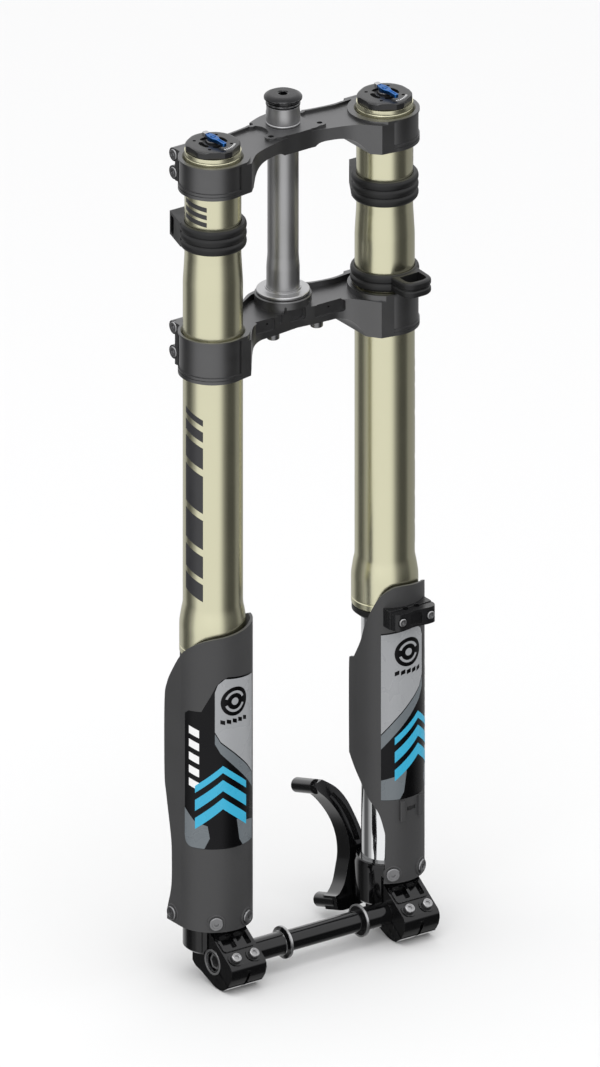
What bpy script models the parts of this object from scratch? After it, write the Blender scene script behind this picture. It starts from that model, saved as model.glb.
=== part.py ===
"""A double-crown suspension fork for a bicycle.

The fork stands upright. The origin is on the steerer's axis, where the crown race
sits on the lower crown. +Z is up along the steerer, -Y is the front of the bicycle
and +X is the rider's left, the brake side. Sizes are in millimetres and become
metres as each mesh is made. Heights called h are above the front axle's centre.
"""

import math

import bmesh
import bpy
from mathutils import Matrix, Vector

MM = 0.001
GAP = 0.3  # clearance between pieces that touch

# The fork's driving dimensions
AXLE_TO_CROWN = 620.0
LEG_X = 95.5  # half the distance between the legs
LEG_Y = -25.0  # the legs stand this far in front of the steerer
AXLE_FORWARD = 28.1  # and the axle this far in front of the legs
TRAVEL = 200.0
STEERER_R = 14.3
STANCHION_R = 21.5
STANCHION_WALL = 1.9
STANCHION_FOOT = 12.0

# Outer tubes, which the crowns clamp
TUBE_TOP = 795.3
TUBE_BOTTOM = 296.0
CAP_ROOM = 35.3  # between the stanchion and the tube's top when fully compressed
STANCHION_TOP = TUBE_TOP - CAP_ROOM - TRAVEL
TUBE_UPPER_R = 26.0
TUBE_R = 27.5
TUBE_LOWER_R = 30.75
TUBE_BORE_R = 23.6
CAP_FLATS = 46.0  # across the top cap's hexagon
TAPER_TOP, TAPER_END = 690.0, 665.0
FLARE_TOP, FLARE_END = 345.0, 325.0
BUSHING_R = 23.3

# Crowns
TOP_CROWN = (757.0, 788.4)
LOWER_CROWN = (573.7, 615.0)
CLAMP_R = 32.0
EAR_X, EAR_Y = 15.5, 36.0  # face and bolt line of a clamp's ears, from the leg
EAR_BACK = 42.0
TOP_BOLT_HEIGHTS = {"upper": 781.6, "lower": 763.8}
LOWER_BOLT_HEIGHTS = {"upper": 609.4, "lower": 584.8}
STEM_HOLES = ((27.0, 5.5), (27.0, 38.8))  # X, and Y behind the legs

# Axle, lugs and hub spacers
AXLE_R = 10.0
AXLE_BORE_R = 6.5
SPACER_R = 11.0
LUG_INNER, LUG_OUTER = 77.0, 115.5
SOCKET_R = 27.7
SOCKET_BASE, SOCKET_TOP = 5.0, 45.0
HUB_RIGHT, HUB_LEFT = -36.0, 46.0  # the flanges that a hub's ends rest on
PINCH_SLOPE = math.radians(34.4)  # of the lug's upper front face
PINCH_SPREAD = 9.85

# Guards over the stanchions
GUARD_R = 36.4
GUARD_WALL = 3.0
GUARD_FOOT, GUARD_TOP = 30.0, 328.0
GUARD_BOLT_H = 39.0
GUARD_BOLT_ANGLES = {"inner": -113.0, "outer": -60.0}
SIDE_BOLT_Y = 12.0

# Brake caliper mount, on the left lug
POST_R = 7.0
POST_REACH = 38.0
MOUNT_THICK = 20.5
MOUNT_LEAN = math.radians(16.8)
MOUNT_Y = 18.0

# Steps around a turned piece
BIG, MID, SMALL, BOLT = 32, 24, 16, 10

parts = None
cutters = None


# ---------------------------------------------------------------- helpers


def collection(name):
    made = bpy.data.collections.new(name)
    bpy.context.scene.collection.children.link(made)
    return made


def finish(name, colour, roughness, metallic=0.0):
    """A plain Principled material."""
    material = bpy.data.materials.new(name)
    material.use_nodes = True
    shader = material.node_tree.nodes["Principled BSDF"]
    shader.inputs["Base Color"].default_value = (*colour, 1.0)
    shader.inputs["Roughness"].default_value = roughness
    shader.inputs["Metallic"].default_value = metallic
    return material


def z_of(h):
    """Z of a height above the axle."""
    return h - AXLE_TO_CROWN


def add(name, mesh, material=None):
    """A new object: a part where it has a material, a cutter where it has none."""
    made = bpy.data.objects.new(name, mesh)
    if material is None:
        made.hide_render = True
        made.display_type = "WIRE"
        cutters.objects.link(made)
    else:
        mesh.materials.append(material)
        parts.objects.link(made)
    return made


def mesh_of(name, work):
    mesh = bpy.data.meshes.new(name)
    work.to_mesh(mesh)
    work.free()
    return mesh


def aimed(at, direction):
    """A matrix at a point in millimetres, with its Z along direction."""
    turn = Vector((0, 0, 1)).rotation_difference(Vector(direction))
    return Matrix.Translation(Vector(at) * MM) @ turn.to_matrix().to_4x4()


def turned(name, profile, steps, material=None, at=(0, 0, 0), direction=(0, 0, 1)):
    """A turned piece. Its profile runs down the outer side, then back up the inner."""
    work = bmesh.new()
    ring = [work.verts.new((r * MM, 0, z * MM)) for r, z in profile]
    for a, b in zip(ring, ring[1:]):
        work.edges.new((a, b))
    if profile[0][0] > 0:
        work.edges.new((ring[-1], ring[0]))
    made = add(name, mesh_of(name, work), material)
    spin = made.modifiers.new("Spin", "SCREW")
    spin.steps = spin.render_steps = steps
    spin.use_merge_vertices = True
    spin.merge_threshold = 0.00001
    spin.use_smooth_shade = material is not None
    made.matrix_world = aimed(at, direction)
    return made


def rod(name, radius, low, high, at=(0, 0, 0), direction=(0, 0, 1), steps=SMALL):
    """A cylindrical cutter or joiner along a direction."""
    work = bmesh.new()
    bmesh.ops.create_cone(
        work, cap_ends=True, segments=steps, radius1=radius * MM, radius2=radius * MM,
        depth=(high - low) * MM,
    )
    bmesh.ops.translate(work, verts=work.verts, vec=(0, 0, (low + high) / 2 * MM))
    made = add(name, mesh_of(name, work))
    made.matrix_world = aimed(at, direction)
    return made


def block(name, low, high, place=Matrix()):
    """A box-shaped cutter or joiner between two corners."""
    work = bmesh.new()
    bmesh.ops.create_cube(work, size=1)
    size = [b - a for a, b in zip(low, high)]
    middle = [(a + b) / 2 for a, b in zip(low, high)]
    bmesh.ops.scale(work, verts=work.verts, vec=Vector(size) * MM)
    bmesh.ops.translate(work, verts=work.verts, vec=Vector(middle) * MM)
    made = add(name, mesh_of(name, work))
    made.matrix_world = place
    return made


FLAT = Matrix()
# An outline drawn in (Y, Z) and given its thickness along X
SIDEWAYS = Matrix(((0, 0, 1, 0), (1, 0, 0, 0), (0, 1, 0, 0), (0, 0, 0, 1)))
# An outline drawn in (X, Z) and given its thickness along -Y
FORWARD = Matrix(((1, 0, 0, 0), (0, 0, -1, 0), (0, 1, 0, 0), (0, 0, 0, 1)))


def plate(name, outline, low, high, material=None, place=FLAT):
    """A flat outline given a thickness from low to high."""
    curve = bpy.data.curves.new(name, "CURVE")
    curve.dimensions = "2D"
    curve.fill_mode = "BOTH"
    curve.extrude = (high - low) / 2 * MM
    line = curve.splines.new("POLY")
    line.points.add(len(outline) - 1)
    for point, (a, b) in zip(line.points, outline):
        point.co = (a * MM, b * MM, 0, 1)
    line.use_cyclic_u = True
    sketch = bpy.data.objects.new(name + "_sketch", curve)
    cutters.objects.link(sketch)
    bpy.context.view_layer.update()
    seen = sketch.evaluated_get(bpy.context.evaluated_depsgraph_get())
    mesh = bpy.data.meshes.new_from_object(seen)
    bpy.data.objects.remove(sketch)
    work = bmesh.new()
    work.from_mesh(mesh)
    bmesh.ops.remove_doubles(work, verts=work.verts, dist=0.00001)
    bmesh.ops.recalc_face_normals(work, faces=work.faces)
    bmesh.ops.translate(work, verts=work.verts, vec=(0, 0, (low + high) / 2 * MM))
    made = add(name, mesh_of(name, work), material)
    made.matrix_world = place
    return made


def arc(x, y, radius, start, end, count):
    """Points along a circle's arc, from one angle in degrees to another."""
    angles = [math.radians(start + (end - start) * i / count) for i in range(count + 1)]
    return [(x + radius * math.cos(a), y + radius * math.sin(a)) for a in angles]


def mirrored(half):
    """A whole outline from its half at +X."""
    return half + [(-x, y) for x, y in reversed(half) if x > 0.01]


def combine(target, operation, *tools):
    for tool in tools:
        step = target.modifiers.new(tool.name, "BOOLEAN")
        step.operation = operation
        step.object = tool


def cut(target, *tools):
    combine(target, "DIFFERENCE", *tools)


def join(target, *tools):
    combine(target, "UNION", *tools)


def leg(side):
    """A leg's name and X. The left leg is at +X."""
    return ("left", LEG_X) if side > 0 else ("right", -LEG_X)


def screw(name, at, direction, head_r, head_tall, shank_r, length, material):
    """A headed bolt whose head sits on the point and whose shank runs back from it."""
    profile = [
        (0, head_tall), (head_r, head_tall), (head_r, 0), (shank_r, 0),
        (shank_r, -length), (0, -length),
    ]
    return turned(name, profile, BOLT, material, at, direction)


# ---------------------------------------------------------------- steerer


def steerer(silver, black):
    top = z_of(807)
    shoulder = z_of(650)
    foot = z_of(590.5)
    turned(
        "steerer_tube",
        [
            (STEERER_R, top), (STEERER_R, shoulder + 8), (STEERER_R + 0.95, shoulder),
            (STEERER_R + 0.95, foot), (STEERER_R - 2.4, foot), (STEERER_R - 2.4, top),
        ],
        MID, silver,
    )
    plug_r = STEERER_R - 2.7
    cap = turned(
        "steerer_cap",
        [
            (0, z_of(818)), (12.5, z_of(818)), (17.65, z_of(815)), (17.65, z_of(812.5)),
            (15.8, z_of(810.8)), (15.8, top + GAP), (plug_r, top + GAP), (plug_r, top - 14),
            (0, top - 14),
        ],
        MID, black,
    )
    cut(cap, rod("cap_socket", 4.6, z_of(810), z_of(825), steps=6))
    low, high = z_of(792), z_of(800)
    fitted = STEERER_R + GAP
    turned(
        "steerer_collar", [(15.8, high), (15.8, low), (fitted, low), (fitted, high)], MID, silver
    )
    bore = STEERER_R + 0.95 + GAP
    turned(
        "crown_race",
        [(16.8, 6.0), (16.8, 3.2), (24.6, 3.2), (24.6, GAP), (bore, GAP), (bore, 6.0)],
        MID, silver,
    )


# ---------------------------------------------------------------- crowns


def clamp_cutters(name, side, heights, crown, bore_r):
    """The leg's bore, the slit behind it and the two bolt holes of one clamp."""
    _, x = leg(side)
    low, high = (z_of(h) for h in crown)
    tools = [
        rod(f"{name}_bore", bore_r, low - 5, high + 5, (x, LEG_Y, 0), steps=BIG),
        block(
            f"{name}_slit",
            (x - 0.8, LEG_Y + 20, low - 5), (x + 0.8, LEG_Y + EAR_BACK + 5, high + 5),
        ),
    ]
    for level, h in heights.items():
        at = (x, LEG_Y + EAR_Y, z_of(h))
        tools.append(rod(f"{name}_{level}_hole", 3.3, -14, 30, at, (side, 0, 0), BOLT))
    return tools


def clamp_outline(front, rear):
    """A crown's plan: its front and rear edges, joined round the clamps by arcs."""
    ear = math.degrees(math.acos(EAR_X / CLAMP_R))
    start = [(x, LEG_Y + y) for x, y in front]
    end = [(x, LEG_Y + y) for x, y in rear]
    round_side = arc(LEG_X, LEG_Y, CLAMP_R, -108, ear, 14)
    ears = [(LEG_X + EAR_X, LEG_Y + EAR_BACK), (LEG_X - EAR_X, LEG_Y + EAR_BACK)]
    return mirrored(start + round_side + ears + end)


def crown_bolts(name, heights, steel):
    for side in (-1, 1):
        which, x = leg(side)
        for level, h in heights.items():
            at = (x + side * (EAR_X + GAP), LEG_Y + EAR_Y, z_of(h))
            screw(
                f"{which}_{name}_bolt_{level}", at, (side, 0, 0), 5.5, 4.5, 3.0, 28, steel
            )


def top_crown(anodised):
    low, high = (z_of(h) for h in TOP_CROWN)
    front = [(0, -2), (16, -2), (33, -6), (56, -14), (68, -23)]
    rear = [(76, 35), (61, 33), (33, 37), (25, 42), (0, 50)]
    crown = plate("top_crown", clamp_outline(front, rear), low, high, anodised)
    under = mirrored(
        [(0, low + 13), (21, low + 13), (25, low + 16.4), (47, low + 16.4), (60, low + 9),
         (63, low), (63, low - 9)]
    )
    cut(crown, plate("top_arch", under, -60, 100, place=FORWARD))
    recess = [
        (34, -40), (34, 33.5), (61, 29.5), (65.5, 18), (61.5, 7), (61.5, -7), (66, -20), (66, -40),
    ]
    for side in (-1, 1):
        shape = [(side * x, LEG_Y + y) for x, y in recess]
        cut(crown, plate(f"top_recess_{side}", shape, high - 3, high + 5))
        for row, (x, y) in enumerate(STEM_HOLES):
            at = (side * x, LEG_Y + y, 0)
            cut(crown, rod(f"stem_hole_{side}_{row}", 2.6, low, high + 5, at, steps=BOLT))
        tube = TUBE_UPPER_R + GAP
        cut(crown, *clamp_cutters(f"top_{side}", side, TOP_BOLT_HEIGHTS, TOP_CROWN, tube))
    cut(crown, rod("top_steerer_bore", STEERER_R + GAP, low, high + 9, steps=MID))


def lower_crown(anodised, steel):
    low, high = (z_of(h) for h in LOWER_CROWN)
    front = [(0, 3), (18, 1), (44, 0), (54, -6), (70, -17)]
    rear = [(76, 36), (61, 34), (38, 38), (22, 49), (0, 53)]
    crown = plate("lower_crown", clamp_outline(front, rear), low, high, anodised)
    join(crown, rod("lower_boss", 26.5, low + 16, 0, steps=MID))
    under = mirrored(
        [(0, low + 17.8), (48, low + 17.8), (60, low + 11), (63, low), (63, low - 9)]
    )
    cut(crown, plate("lower_arch", under, -60, 100, place=FORWARD))
    recess = [
        (30, -40), (30, 26), (36, 34), (61, 30.5), (65.5, 18), (61.5, 7), (61.5, -7), (66, -20),
        (66, -40),
    ]
    for side in (-1, 1):
        shape = [(side * x, LEG_Y + y) for x, y in recess]
        cut(crown, plate(f"lower_recess_{side}", shape, high - 5.5, high + 5))
        stud = (side * 24.2, LEG_Y + 6.3, 0)
        cut(crown, rod(f"stud_hole_{side}", 3.3, low, -16, stud, steps=BOLT))
        which, _ = leg(side)
        seat = z_of(591.5) - GAP
        turned(
            f"{which}_fender_standoff",
            [(0, seat + 11), (3, seat + 11), (3, seat), (5.9, seat), (5.9, -34), (0, -34)],
            SMALL, steel, stud,
        )
        tube = TUBE_R + GAP
        cut(crown, *clamp_cutters(f"lower_{side}", side, LOWER_BOLT_HEIGHTS, LOWER_CROWN, tube))
    cut(crown, rod("lower_steerer_bore", STEERER_R + 0.95 + GAP, low, 9, steps=MID))


# ---------------------------------------------------------------- legs, upper


def outer_tube(side, gold):
    which, x = leg(side)
    profile = [
        (TUBE_UPPER_R, TUBE_TOP), (TUBE_UPPER_R, TAPER_TOP), (TUBE_R, TAPER_END),
        (TUBE_R, FLARE_TOP), (TUBE_LOWER_R, FLARE_END), (TUBE_LOWER_R, TUBE_BOTTOM),
        (TUBE_BORE_R, TUBE_BOTTOM), (TUBE_BORE_R, TUBE_TOP),
    ]
    turned(
        f"{which}_outer_tube", [(r, z_of(h)) for r, h in profile], BIG, gold, (x, LEG_Y, 0)
    )


def top_cap(side, black):
    which, x = leg(side)
    seat = z_of(TUBE_TOP) + GAP
    top = z_of(802)
    cap = turned(
        f"{which}_top_cap",
        [
            (24.2, top), (25.2, top - 1), (25.2, seat), (22.8, seat), (22.8, seat - 20),
            (4.4, seat - 20), (4.4, top),
        ],
        BIG, black, (x, LEG_Y, 0),
    )
    corner = CAP_FLATS / math.sqrt(3)
    hexagon = rod(f"{which}_cap_flats", corner, seat - 25, top + 5, (x, LEG_Y, 0), steps=6)
    combine(cap, "INTERSECT", hexagon)


def adjuster(side, blue):
    """A lever knob on the leg's axis, with its shaft down through the cap."""
    which, x = leg(side)
    base = z_of(802) + GAP
    knob = turned(
        f"{which}_adjuster",
        [(0, base + 7.5), (6, base + 7.5), (6, base), (4, base), (4, base - 24), (0, base - 24)],
        SMALL, blue, (x, LEG_Y, 0),
    )
    outline = [
        (-3, -20), (3, -20), (3.4, -8), (3.4, 8), (2, 13.5), (-2, 13.5), (-3.4, 8), (-3.4, -8),
    ]
    arm = plate(f"{which}_lever_arm", outline, base + 1.5, base + 6.2)
    arm.matrix_world = Matrix.Translation(Vector((x, LEG_Y, 0)) * MM)
    join(knob, arm)


def tube_band(side, rubber):
    """A rubber band round the outer tube with a square loop behind it."""
    which, x = leg(side)
    low, high = z_of(701), z_of(725)
    band = turned(
        f"{which}_tube_band",
        [(30.6, high), (30.6, low), (TUBE_UPPER_R + 0.1, low), (TUBE_UPPER_R + 0.1, high)],
        BIG, rubber, (x, LEG_Y, 0),
    )
    shape = [(20, 40), (28.2, 11), (-27, 14), (-10.6, 40)]
    outline = [(x + side * a, LEG_Y + b) for a, b in shape]
    loop = plate(f"{which}_band_loop", outline, low, high)
    join(band, loop)
    bore_r = TUBE_UPPER_R + GAP
    cut(
        band,
        rod(f"{which}_band_bore", bore_r, low - 5, high + 5, (x, LEG_Y, 0), steps=BIG),
        block(
            f"{which}_band_slot",
            (x - 40, LEG_Y + 29.5, low + 3), (x + 40, LEG_Y + 37.5, high - 3),
        ),
    )


def hose_guide(rubber):
    """A rubber ring on the left outer tube with a loop in front for the brake hose."""
    low, high = z_of(617), z_of(633)
    ring = turned(
        "hose_guide",
        [(31, high), (31, low), (TUBE_R + 0.1, low), (TUBE_R + 0.1, high)],
        BIG, rubber, (LEG_X, LEG_Y, 0),
    )
    outer = [(-12, -24), (-11, -46), (-6, -53), (12, -53), (18, -48), (20, -20)]
    inner = [(-7, -34), (-6.5, -45), (-4, -49), (10.5, -49), (14, -46), (14.5, -34)]
    join(ring, plate("guide_loop", [(LEG_X + a, LEG_Y + b) for a, b in outer], low + 1, high - 1))
    cut(
        ring,
        rod("guide_bore", TUBE_R + GAP, low - 5, high + 5, (LEG_X, LEG_Y, 0), steps=BIG),
        plate("guide_hole", [(LEG_X + a, LEG_Y + b) for a, b in inner], low - 5, high + 5),
    )


def seal_and_bushings(side, rubber, bronze):
    which, x = leg(side)
    bore = STANCHION_R + GAP
    seat = z_of(TUBE_BOTTOM) - GAP
    turned(
        f"{which}_wiper_seal",
        [(30, seat), (30, seat - 6), (27, seat - 9.7), (bore, seat - 9.7), (bore, seat)],
        BIG, rubber, (x, LEG_Y, 0),
    )
    for name, low, high in (("lower", 298, 320), ("upper", 528, 558)):
        profile = [(BUSHING_R, high), (BUSHING_R, low), (bore, low), (bore, high)]
        turned(
            f"{which}_{name}_bushing", [(r, z_of(h)) for r, h in profile], MID, bronze,
            (x, LEG_Y, 0),
        )


# ---------------------------------------------------------------- spring and damper


def damper(silver, bronze):
    """The right leg's damper: a cartridge hung from the cap, a rod up from the lug."""
    at = (-LEG_X, LEG_Y, 0)
    top, foot = 774.8, 335.0
    shell = [
        (0, top), (13.5, top), (13.5, foot), (5.4, foot), (5.4, foot + 10), (12, foot + 10),
        (12, top - 10), (0, top - 10),
    ]
    turned("damper_cartridge", [(r, z_of(h)) for r, h in shell], SMALL, silver, at)
    base = STANCHION_FOOT + GAP
    shaft = [(0, 380), (5, 380), (5, base + 10), (18, base + 6), (18, base), (0, base)]
    turned("damper_rod", [(r, z_of(h)) for r, h in shaft], SMALL, silver, at)
    piston = [(11.6, 378), (11.6, 366), (5.4, 366), (5.4, 378)]
    turned("damper_piston", [(r, z_of(h)) for r, h in piston], SMALL, bronze, at)


def spring_centre_line(low, high, radius, pitch_end, turns, per_turn):
    """A compression spring's centre line, with one close turn at each end."""
    rise = (high - low - 2 * pitch_end) / (turns - 2)
    points = []
    for i in range(turns * per_turn + 1):
        t = i / per_turn
        middle = min(max(t - 1, 0), turns - 2)
        closed = min(t, 1) + max(t - turns + 1, 0)
        height = low + middle * rise + closed * pitch_end
        angle = 2 * math.pi * t
        points.append((radius * math.cos(angle), radius * math.sin(angle), height))
    return points


def spring(silver, steel, black):
    """The left leg's spring, between a seat on the lug and a tube from the cap."""
    seat_top, tube_foot = 100.0, 432.0
    wire_r = 2.4
    base = STANCHION_FOOT + GAP
    at = (LEG_X, LEG_Y, 0)
    seat = [
        (0, seat_top), (18.6, seat_top), (18.6, seat_top - 6), (9, seat_top - 10), (9, base),
        (0, base),
    ]
    turned("spring_seat", [(r, z_of(h)) for r, h in seat], SMALL, black, at)
    tube = [
        (0, 774.8), (17.9, 774.8), (17.9, tube_foot), (13, tube_foot), (13, 766), (0, 766),
    ]
    turned("spring_preload_tube", [(r, z_of(h)) for r, h in tube], SMALL, silver, at)
    low = z_of(seat_top) + wire_r + GAP
    high = z_of(tube_foot) - wire_r - GAP
    curve = bpy.data.curves.new("coil_spring", "CURVE")
    curve.dimensions = "3D"
    curve.bevel_depth = wire_r * MM
    curve.bevel_resolution = 1
    curve.use_fill_caps = True
    points = spring_centre_line(low, high, 15.5, 2 * wire_r + 0.4, 16, 9)
    line = curve.splines.new("POLY")
    line.points.add(len(points) - 1)
    for point, (x, y, z) in zip(line.points, points):
        point.co = (x * MM, y * MM, z * MM, 1)
    curve.materials.append(steel)
    coil = bpy.data.objects.new("coil_spring", curve)
    coil.location = Vector(at) * MM
    parts.objects.link(coil)


# ---------------------------------------------------------------- legs, lower


def stanchion(side, chrome):
    which, x = leg(side)
    inner = STANCHION_R - STANCHION_WALL
    profile = [
        (STANCHION_R, STANCHION_TOP), (STANCHION_R, STANCHION_FOOT), (inner, STANCHION_FOOT),
        (inner, STANCHION_TOP),
    ]
    turned(f"{which}_stanchion", [(r, z_of(h)) for r, h in profile], BIG, chrome, (x, LEG_Y, 0))


def pinch_place(x, along):
    """A point on the lug's sloping front face, and the face's outward normal."""
    nose = Vector((0, LEG_Y - AXLE_FORWARD - 29.5, z_of(4)))
    slope = Vector((0, math.cos(PINCH_SLOPE), math.sin(PINCH_SLOPE)))
    normal = Vector((0, -math.sin(PINCH_SLOPE), math.cos(PINCH_SLOPE)))
    return nose + slope * along + Vector((x, 0, 0)), normal


def caliper_mount(lug):
    """A crescent behind the left lug, leaning back, with two posts for the caliper."""
    lean = Matrix.Rotation(math.radians(90) - MOUNT_LEAN, 4, "X")
    place = Matrix.Translation(Vector((LEG_X, LEG_Y + MOUNT_Y, z_of(0))) * MM) @ lean
    crescent = [
        (-43, 110), (-40, 102), (-32, 94), (-24, 81), (-18.5, 68), (-16.5, 54), (-18, 40),
        (-23, 28), (-29, 14), (-40, 5), (-40, -7), (-28, -9), (-8, -6), (2, 6), (2, 44),
        (-2, 60), (-6, 74), (-12, 90), (-21, 102), (-35, 114),
    ]
    join(lug, plate("caliper_crescent", crescent, -MOUNT_THICK, 0, place=place))
    back = place.to_3x3() @ Vector((0, 0, -1))
    for name, x, along in (("upper", -38, 107.0), ("lower", -35, -1.0)):
        at = place @ (Vector((x, along, 0)) * MM) / MM
        join(lug, rod(f"{name}_post", POST_R, 8, POST_REACH, at, back))
        cut(lug, rod(f"{name}_post_hole", 3.0, 18, POST_REACH + 5, at, back, BOLT))


def axle_lug(side, black):
    """The foot of one leg: a socket for the stanchion over a split axle clamp."""
    which, x = leg(side)
    lug_mid = side * (LUG_INNER + LUG_OUTER) / 2
    half = (LUG_OUTER - LUG_INNER) / 2
    axle_y = LEG_Y - AXLE_FORWARD
    shape = [
        (-29.5, 4), (2.4, 25.8), (10, 38), (28, 38), (32, 5), (32, -12.5), (20.5, -14),
        (-4, -23.4), (-12, -24.2), (-22, -20), (-29.5, -8), (-31, -1),
    ]
    outline = [(axle_y + y, z_of(h)) for y, h in shape]
    lug = plate(f"{which}_axle_lug", outline, lug_mid - half, lug_mid + half, black, SIDEWAYS)
    socket = rod(
        f"{which}_socket", SOCKET_R, z_of(SOCKET_BASE), z_of(SOCKET_TOP), (x, LEG_Y, 0), steps=BIG
    )
    join(lug, socket)
    if side > 0:
        caliper_mount(lug)
    axle = (0, axle_y, z_of(0))
    tools = [
        rod(
            f"{which}_socket_bore", STANCHION_R + GAP, z_of(STANCHION_FOOT) - GAP, z_of(130),
            (x, LEG_Y, 0), steps=BIG,
        ),
        rod(f"{which}_axle_bore", AXLE_R + GAP, 60, 130, axle, (side, 0, 0), MID),
        rod(f"{which}_spacer_scallop", SPACER_R + 0.8, 50, LUG_INNER, axle, (side, 0, 0), MID),
    ]
    if side < 0:
        tools.append(rod("axle_head_seat", 12.8, LUG_OUTER - 6, 130, axle, (side, 0, 0), MID))
    slit = Matrix.Translation(Vector(axle) * MM) @ Matrix.Rotation(PINCH_SLOPE, 4, "X")
    tools.append(
        block(f"{which}_clamp_slit", (lug_mid - 30, -45, -0.8), (lug_mid + 30, -8, 0.8), slit)
    )
    for row, name in ((-1, "inner"), (1, "outer")):
        at, normal = pinch_place(lug_mid + side * row * PINCH_SPREAD, 8)
        tools.append(rod(f"{which}_pinch_{name}", 2.8, -25, 5, at, normal, BOLT))
    for name, at, direction in guard_bolt_places(side):
        hole = Vector(at) - Vector(direction) * 9
        tools.append(rod(f"{which}_guard_hole_{name}", 2.8, -8, 5, hole, direction, BOLT))
    cut(lug, *tools)


def pinch_bolts(side, steel):
    which, _ = leg(side)
    lug_mid = side * (LUG_INNER + LUG_OUTER) / 2
    for row, name in ((-1, "inner"), (1, "outer")):
        at, normal = pinch_place(lug_mid + side * row * PINCH_SPREAD, 8)
        at = at + normal * GAP
        screw(f"{which}_pinch_bolt_{name}", at, normal, 5.0, 3.2, 2.5, 23, steel)


def axle_and_spacers(black):
    """The hollow axle, put in from the right, and a flanged spacer at each hub end."""
    at = (0, LEG_Y - AXLE_FORWARD, z_of(0))
    end = LUG_OUTER + 0.5
    turned(
        "axle",
        [
            (12.5, end), (12.5, end - 6), (AXLE_R, end - 6), (AXLE_R, -LUG_OUTER + 0.5),
            (AXLE_BORE_R, -LUG_OUTER + 0.5), (AXLE_BORE_R, end - 12), (9, end - 12), (9, end),
        ],
        MID, black, at, (-1, 0, 0),
    )
    bore = AXLE_R + GAP
    for which, side, flange in (("right", -1, -HUB_RIGHT), ("left", 1, HUB_LEFT)):
        lug_face = LUG_INNER - GAP
        profile = [
            (SPACER_R, lug_face), (SPACER_R, flange + 4.5), (15.5, flange + 2.5), (15.5, flange),
            (bore, flange), (bore, lug_face),
        ]
        turned(f"{which}_hub_spacer", profile, MID, black, at, (side, 0, 0))


# ---------------------------------------------------------------- guards


def guard_bolt_places(side):
    """Each guard bolt's name, the point under its head, and its outward direction."""
    _, x = leg(side)
    h = z_of(GUARD_BOLT_H)
    places = []
    for name, angle in GUARD_BOLT_ANGLES.items():
        turn = math.radians(angle)
        out = Vector((side * math.cos(turn), math.sin(turn), 0))
        places.append((name, Vector((x, LEG_Y, h)) + out * GUARD_R, out))
    side_at = Vector((x + side * GUARD_R, LEG_Y + SIDE_BOLT_Y, h))
    places.append(("side", side_at, Vector((side, 0, 0))))
    return places


def guard(side, plastic):
    """A shell round the front of the stanchion, with a flat wing on the outer side."""
    which, x = leg(side)
    inner_r = GUARD_R - GUARD_WALL
    wing = 25.0
    outer = [(GUARD_R, wing)] + arc(0, 0, GUARD_R, 0, -180, 20) + [(-GUARD_R, 7)]
    inner = [(-inner_r, 7)] + arc(0, 0, inner_r, -180, 0, 20) + [(inner_r, wing)]
    outline = [(x + side * a, LEG_Y + b) for a, b in outer + inner]
    shell = plate(f"{which}_guard", outline, z_of(GUARD_FOOT), z_of(GUARD_TOP), plastic)
    bolt_holes = []
    for name, at, out in guard_bolt_places(side):
        reach = GUARD_R - SOCKET_R - 0.5
        if name == "side":
            reach = GUARD_R - math.sqrt(SOCKET_R**2 - (SIDE_BOLT_Y - 6) ** 2) - 0.5
        join(shell, rod(f"{which}_guard_boss_{name}", 6.0, -reach, -1, at, out))
        bolt_holes.append(rod(f"{which}_guard_bolt_hole_{name}", 2.9, -12, 5, at, out, BOLT))
    wing_edge = [
        (-31, 340), (-31, 326), (-18, 321), (-6.6, 313), (1, 303), (12, 285), (21, 267), (25, 248), (25, 173),
        (22, 153), (15, 116), (13.5, 99), (13.5, 63), (18, 53), (21, 20), (40, 20), (40, 340),
    ]
    inner_edge = [
        (-28, 340), (-27.5, 322), (-22.4, 312), (-15.4, 286), (-10.6, 268), (-2, 250),
        (4.7, 240), (4.7, 160), (-3, 142), (-11.2, 129), (-18.7, 114), (-26, 101), (-29.4, 84),
        (-30.2, 70), (-29, 20), (40, 20), (40, 340),
    ]
    if side < 0:
        inner_edge = [(-9, 340), (-9, 326), (0, 320), (4.7, 310), (4.7, 20), (40, 20), (40, 340)]
    for name, edge, low, high in (("wing", wing_edge, 8, 60), ("inside", inner_edge, -60, -8)):
        drawn = [(LEG_Y + y, z_of(h)) for y, h in edge]
        ends = sorted((x + side * low, x + side * high))
        cut(shell, plate(f"{which}_guard_{name}", drawn, *ends, place=SIDEWAYS))
    cut(shell, *bolt_holes)


def guard_bolts(side, steel):
    which, _ = leg(side)
    for name, at, out in guard_bolt_places(side):
        screw(
            f"{which}_guard_bolt_{name}", at + out * GAP, out, 6.7, 2.2, 2.5, 13.5, steel
        )


# ---------------------------------------------------------------- hose clamp


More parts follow.
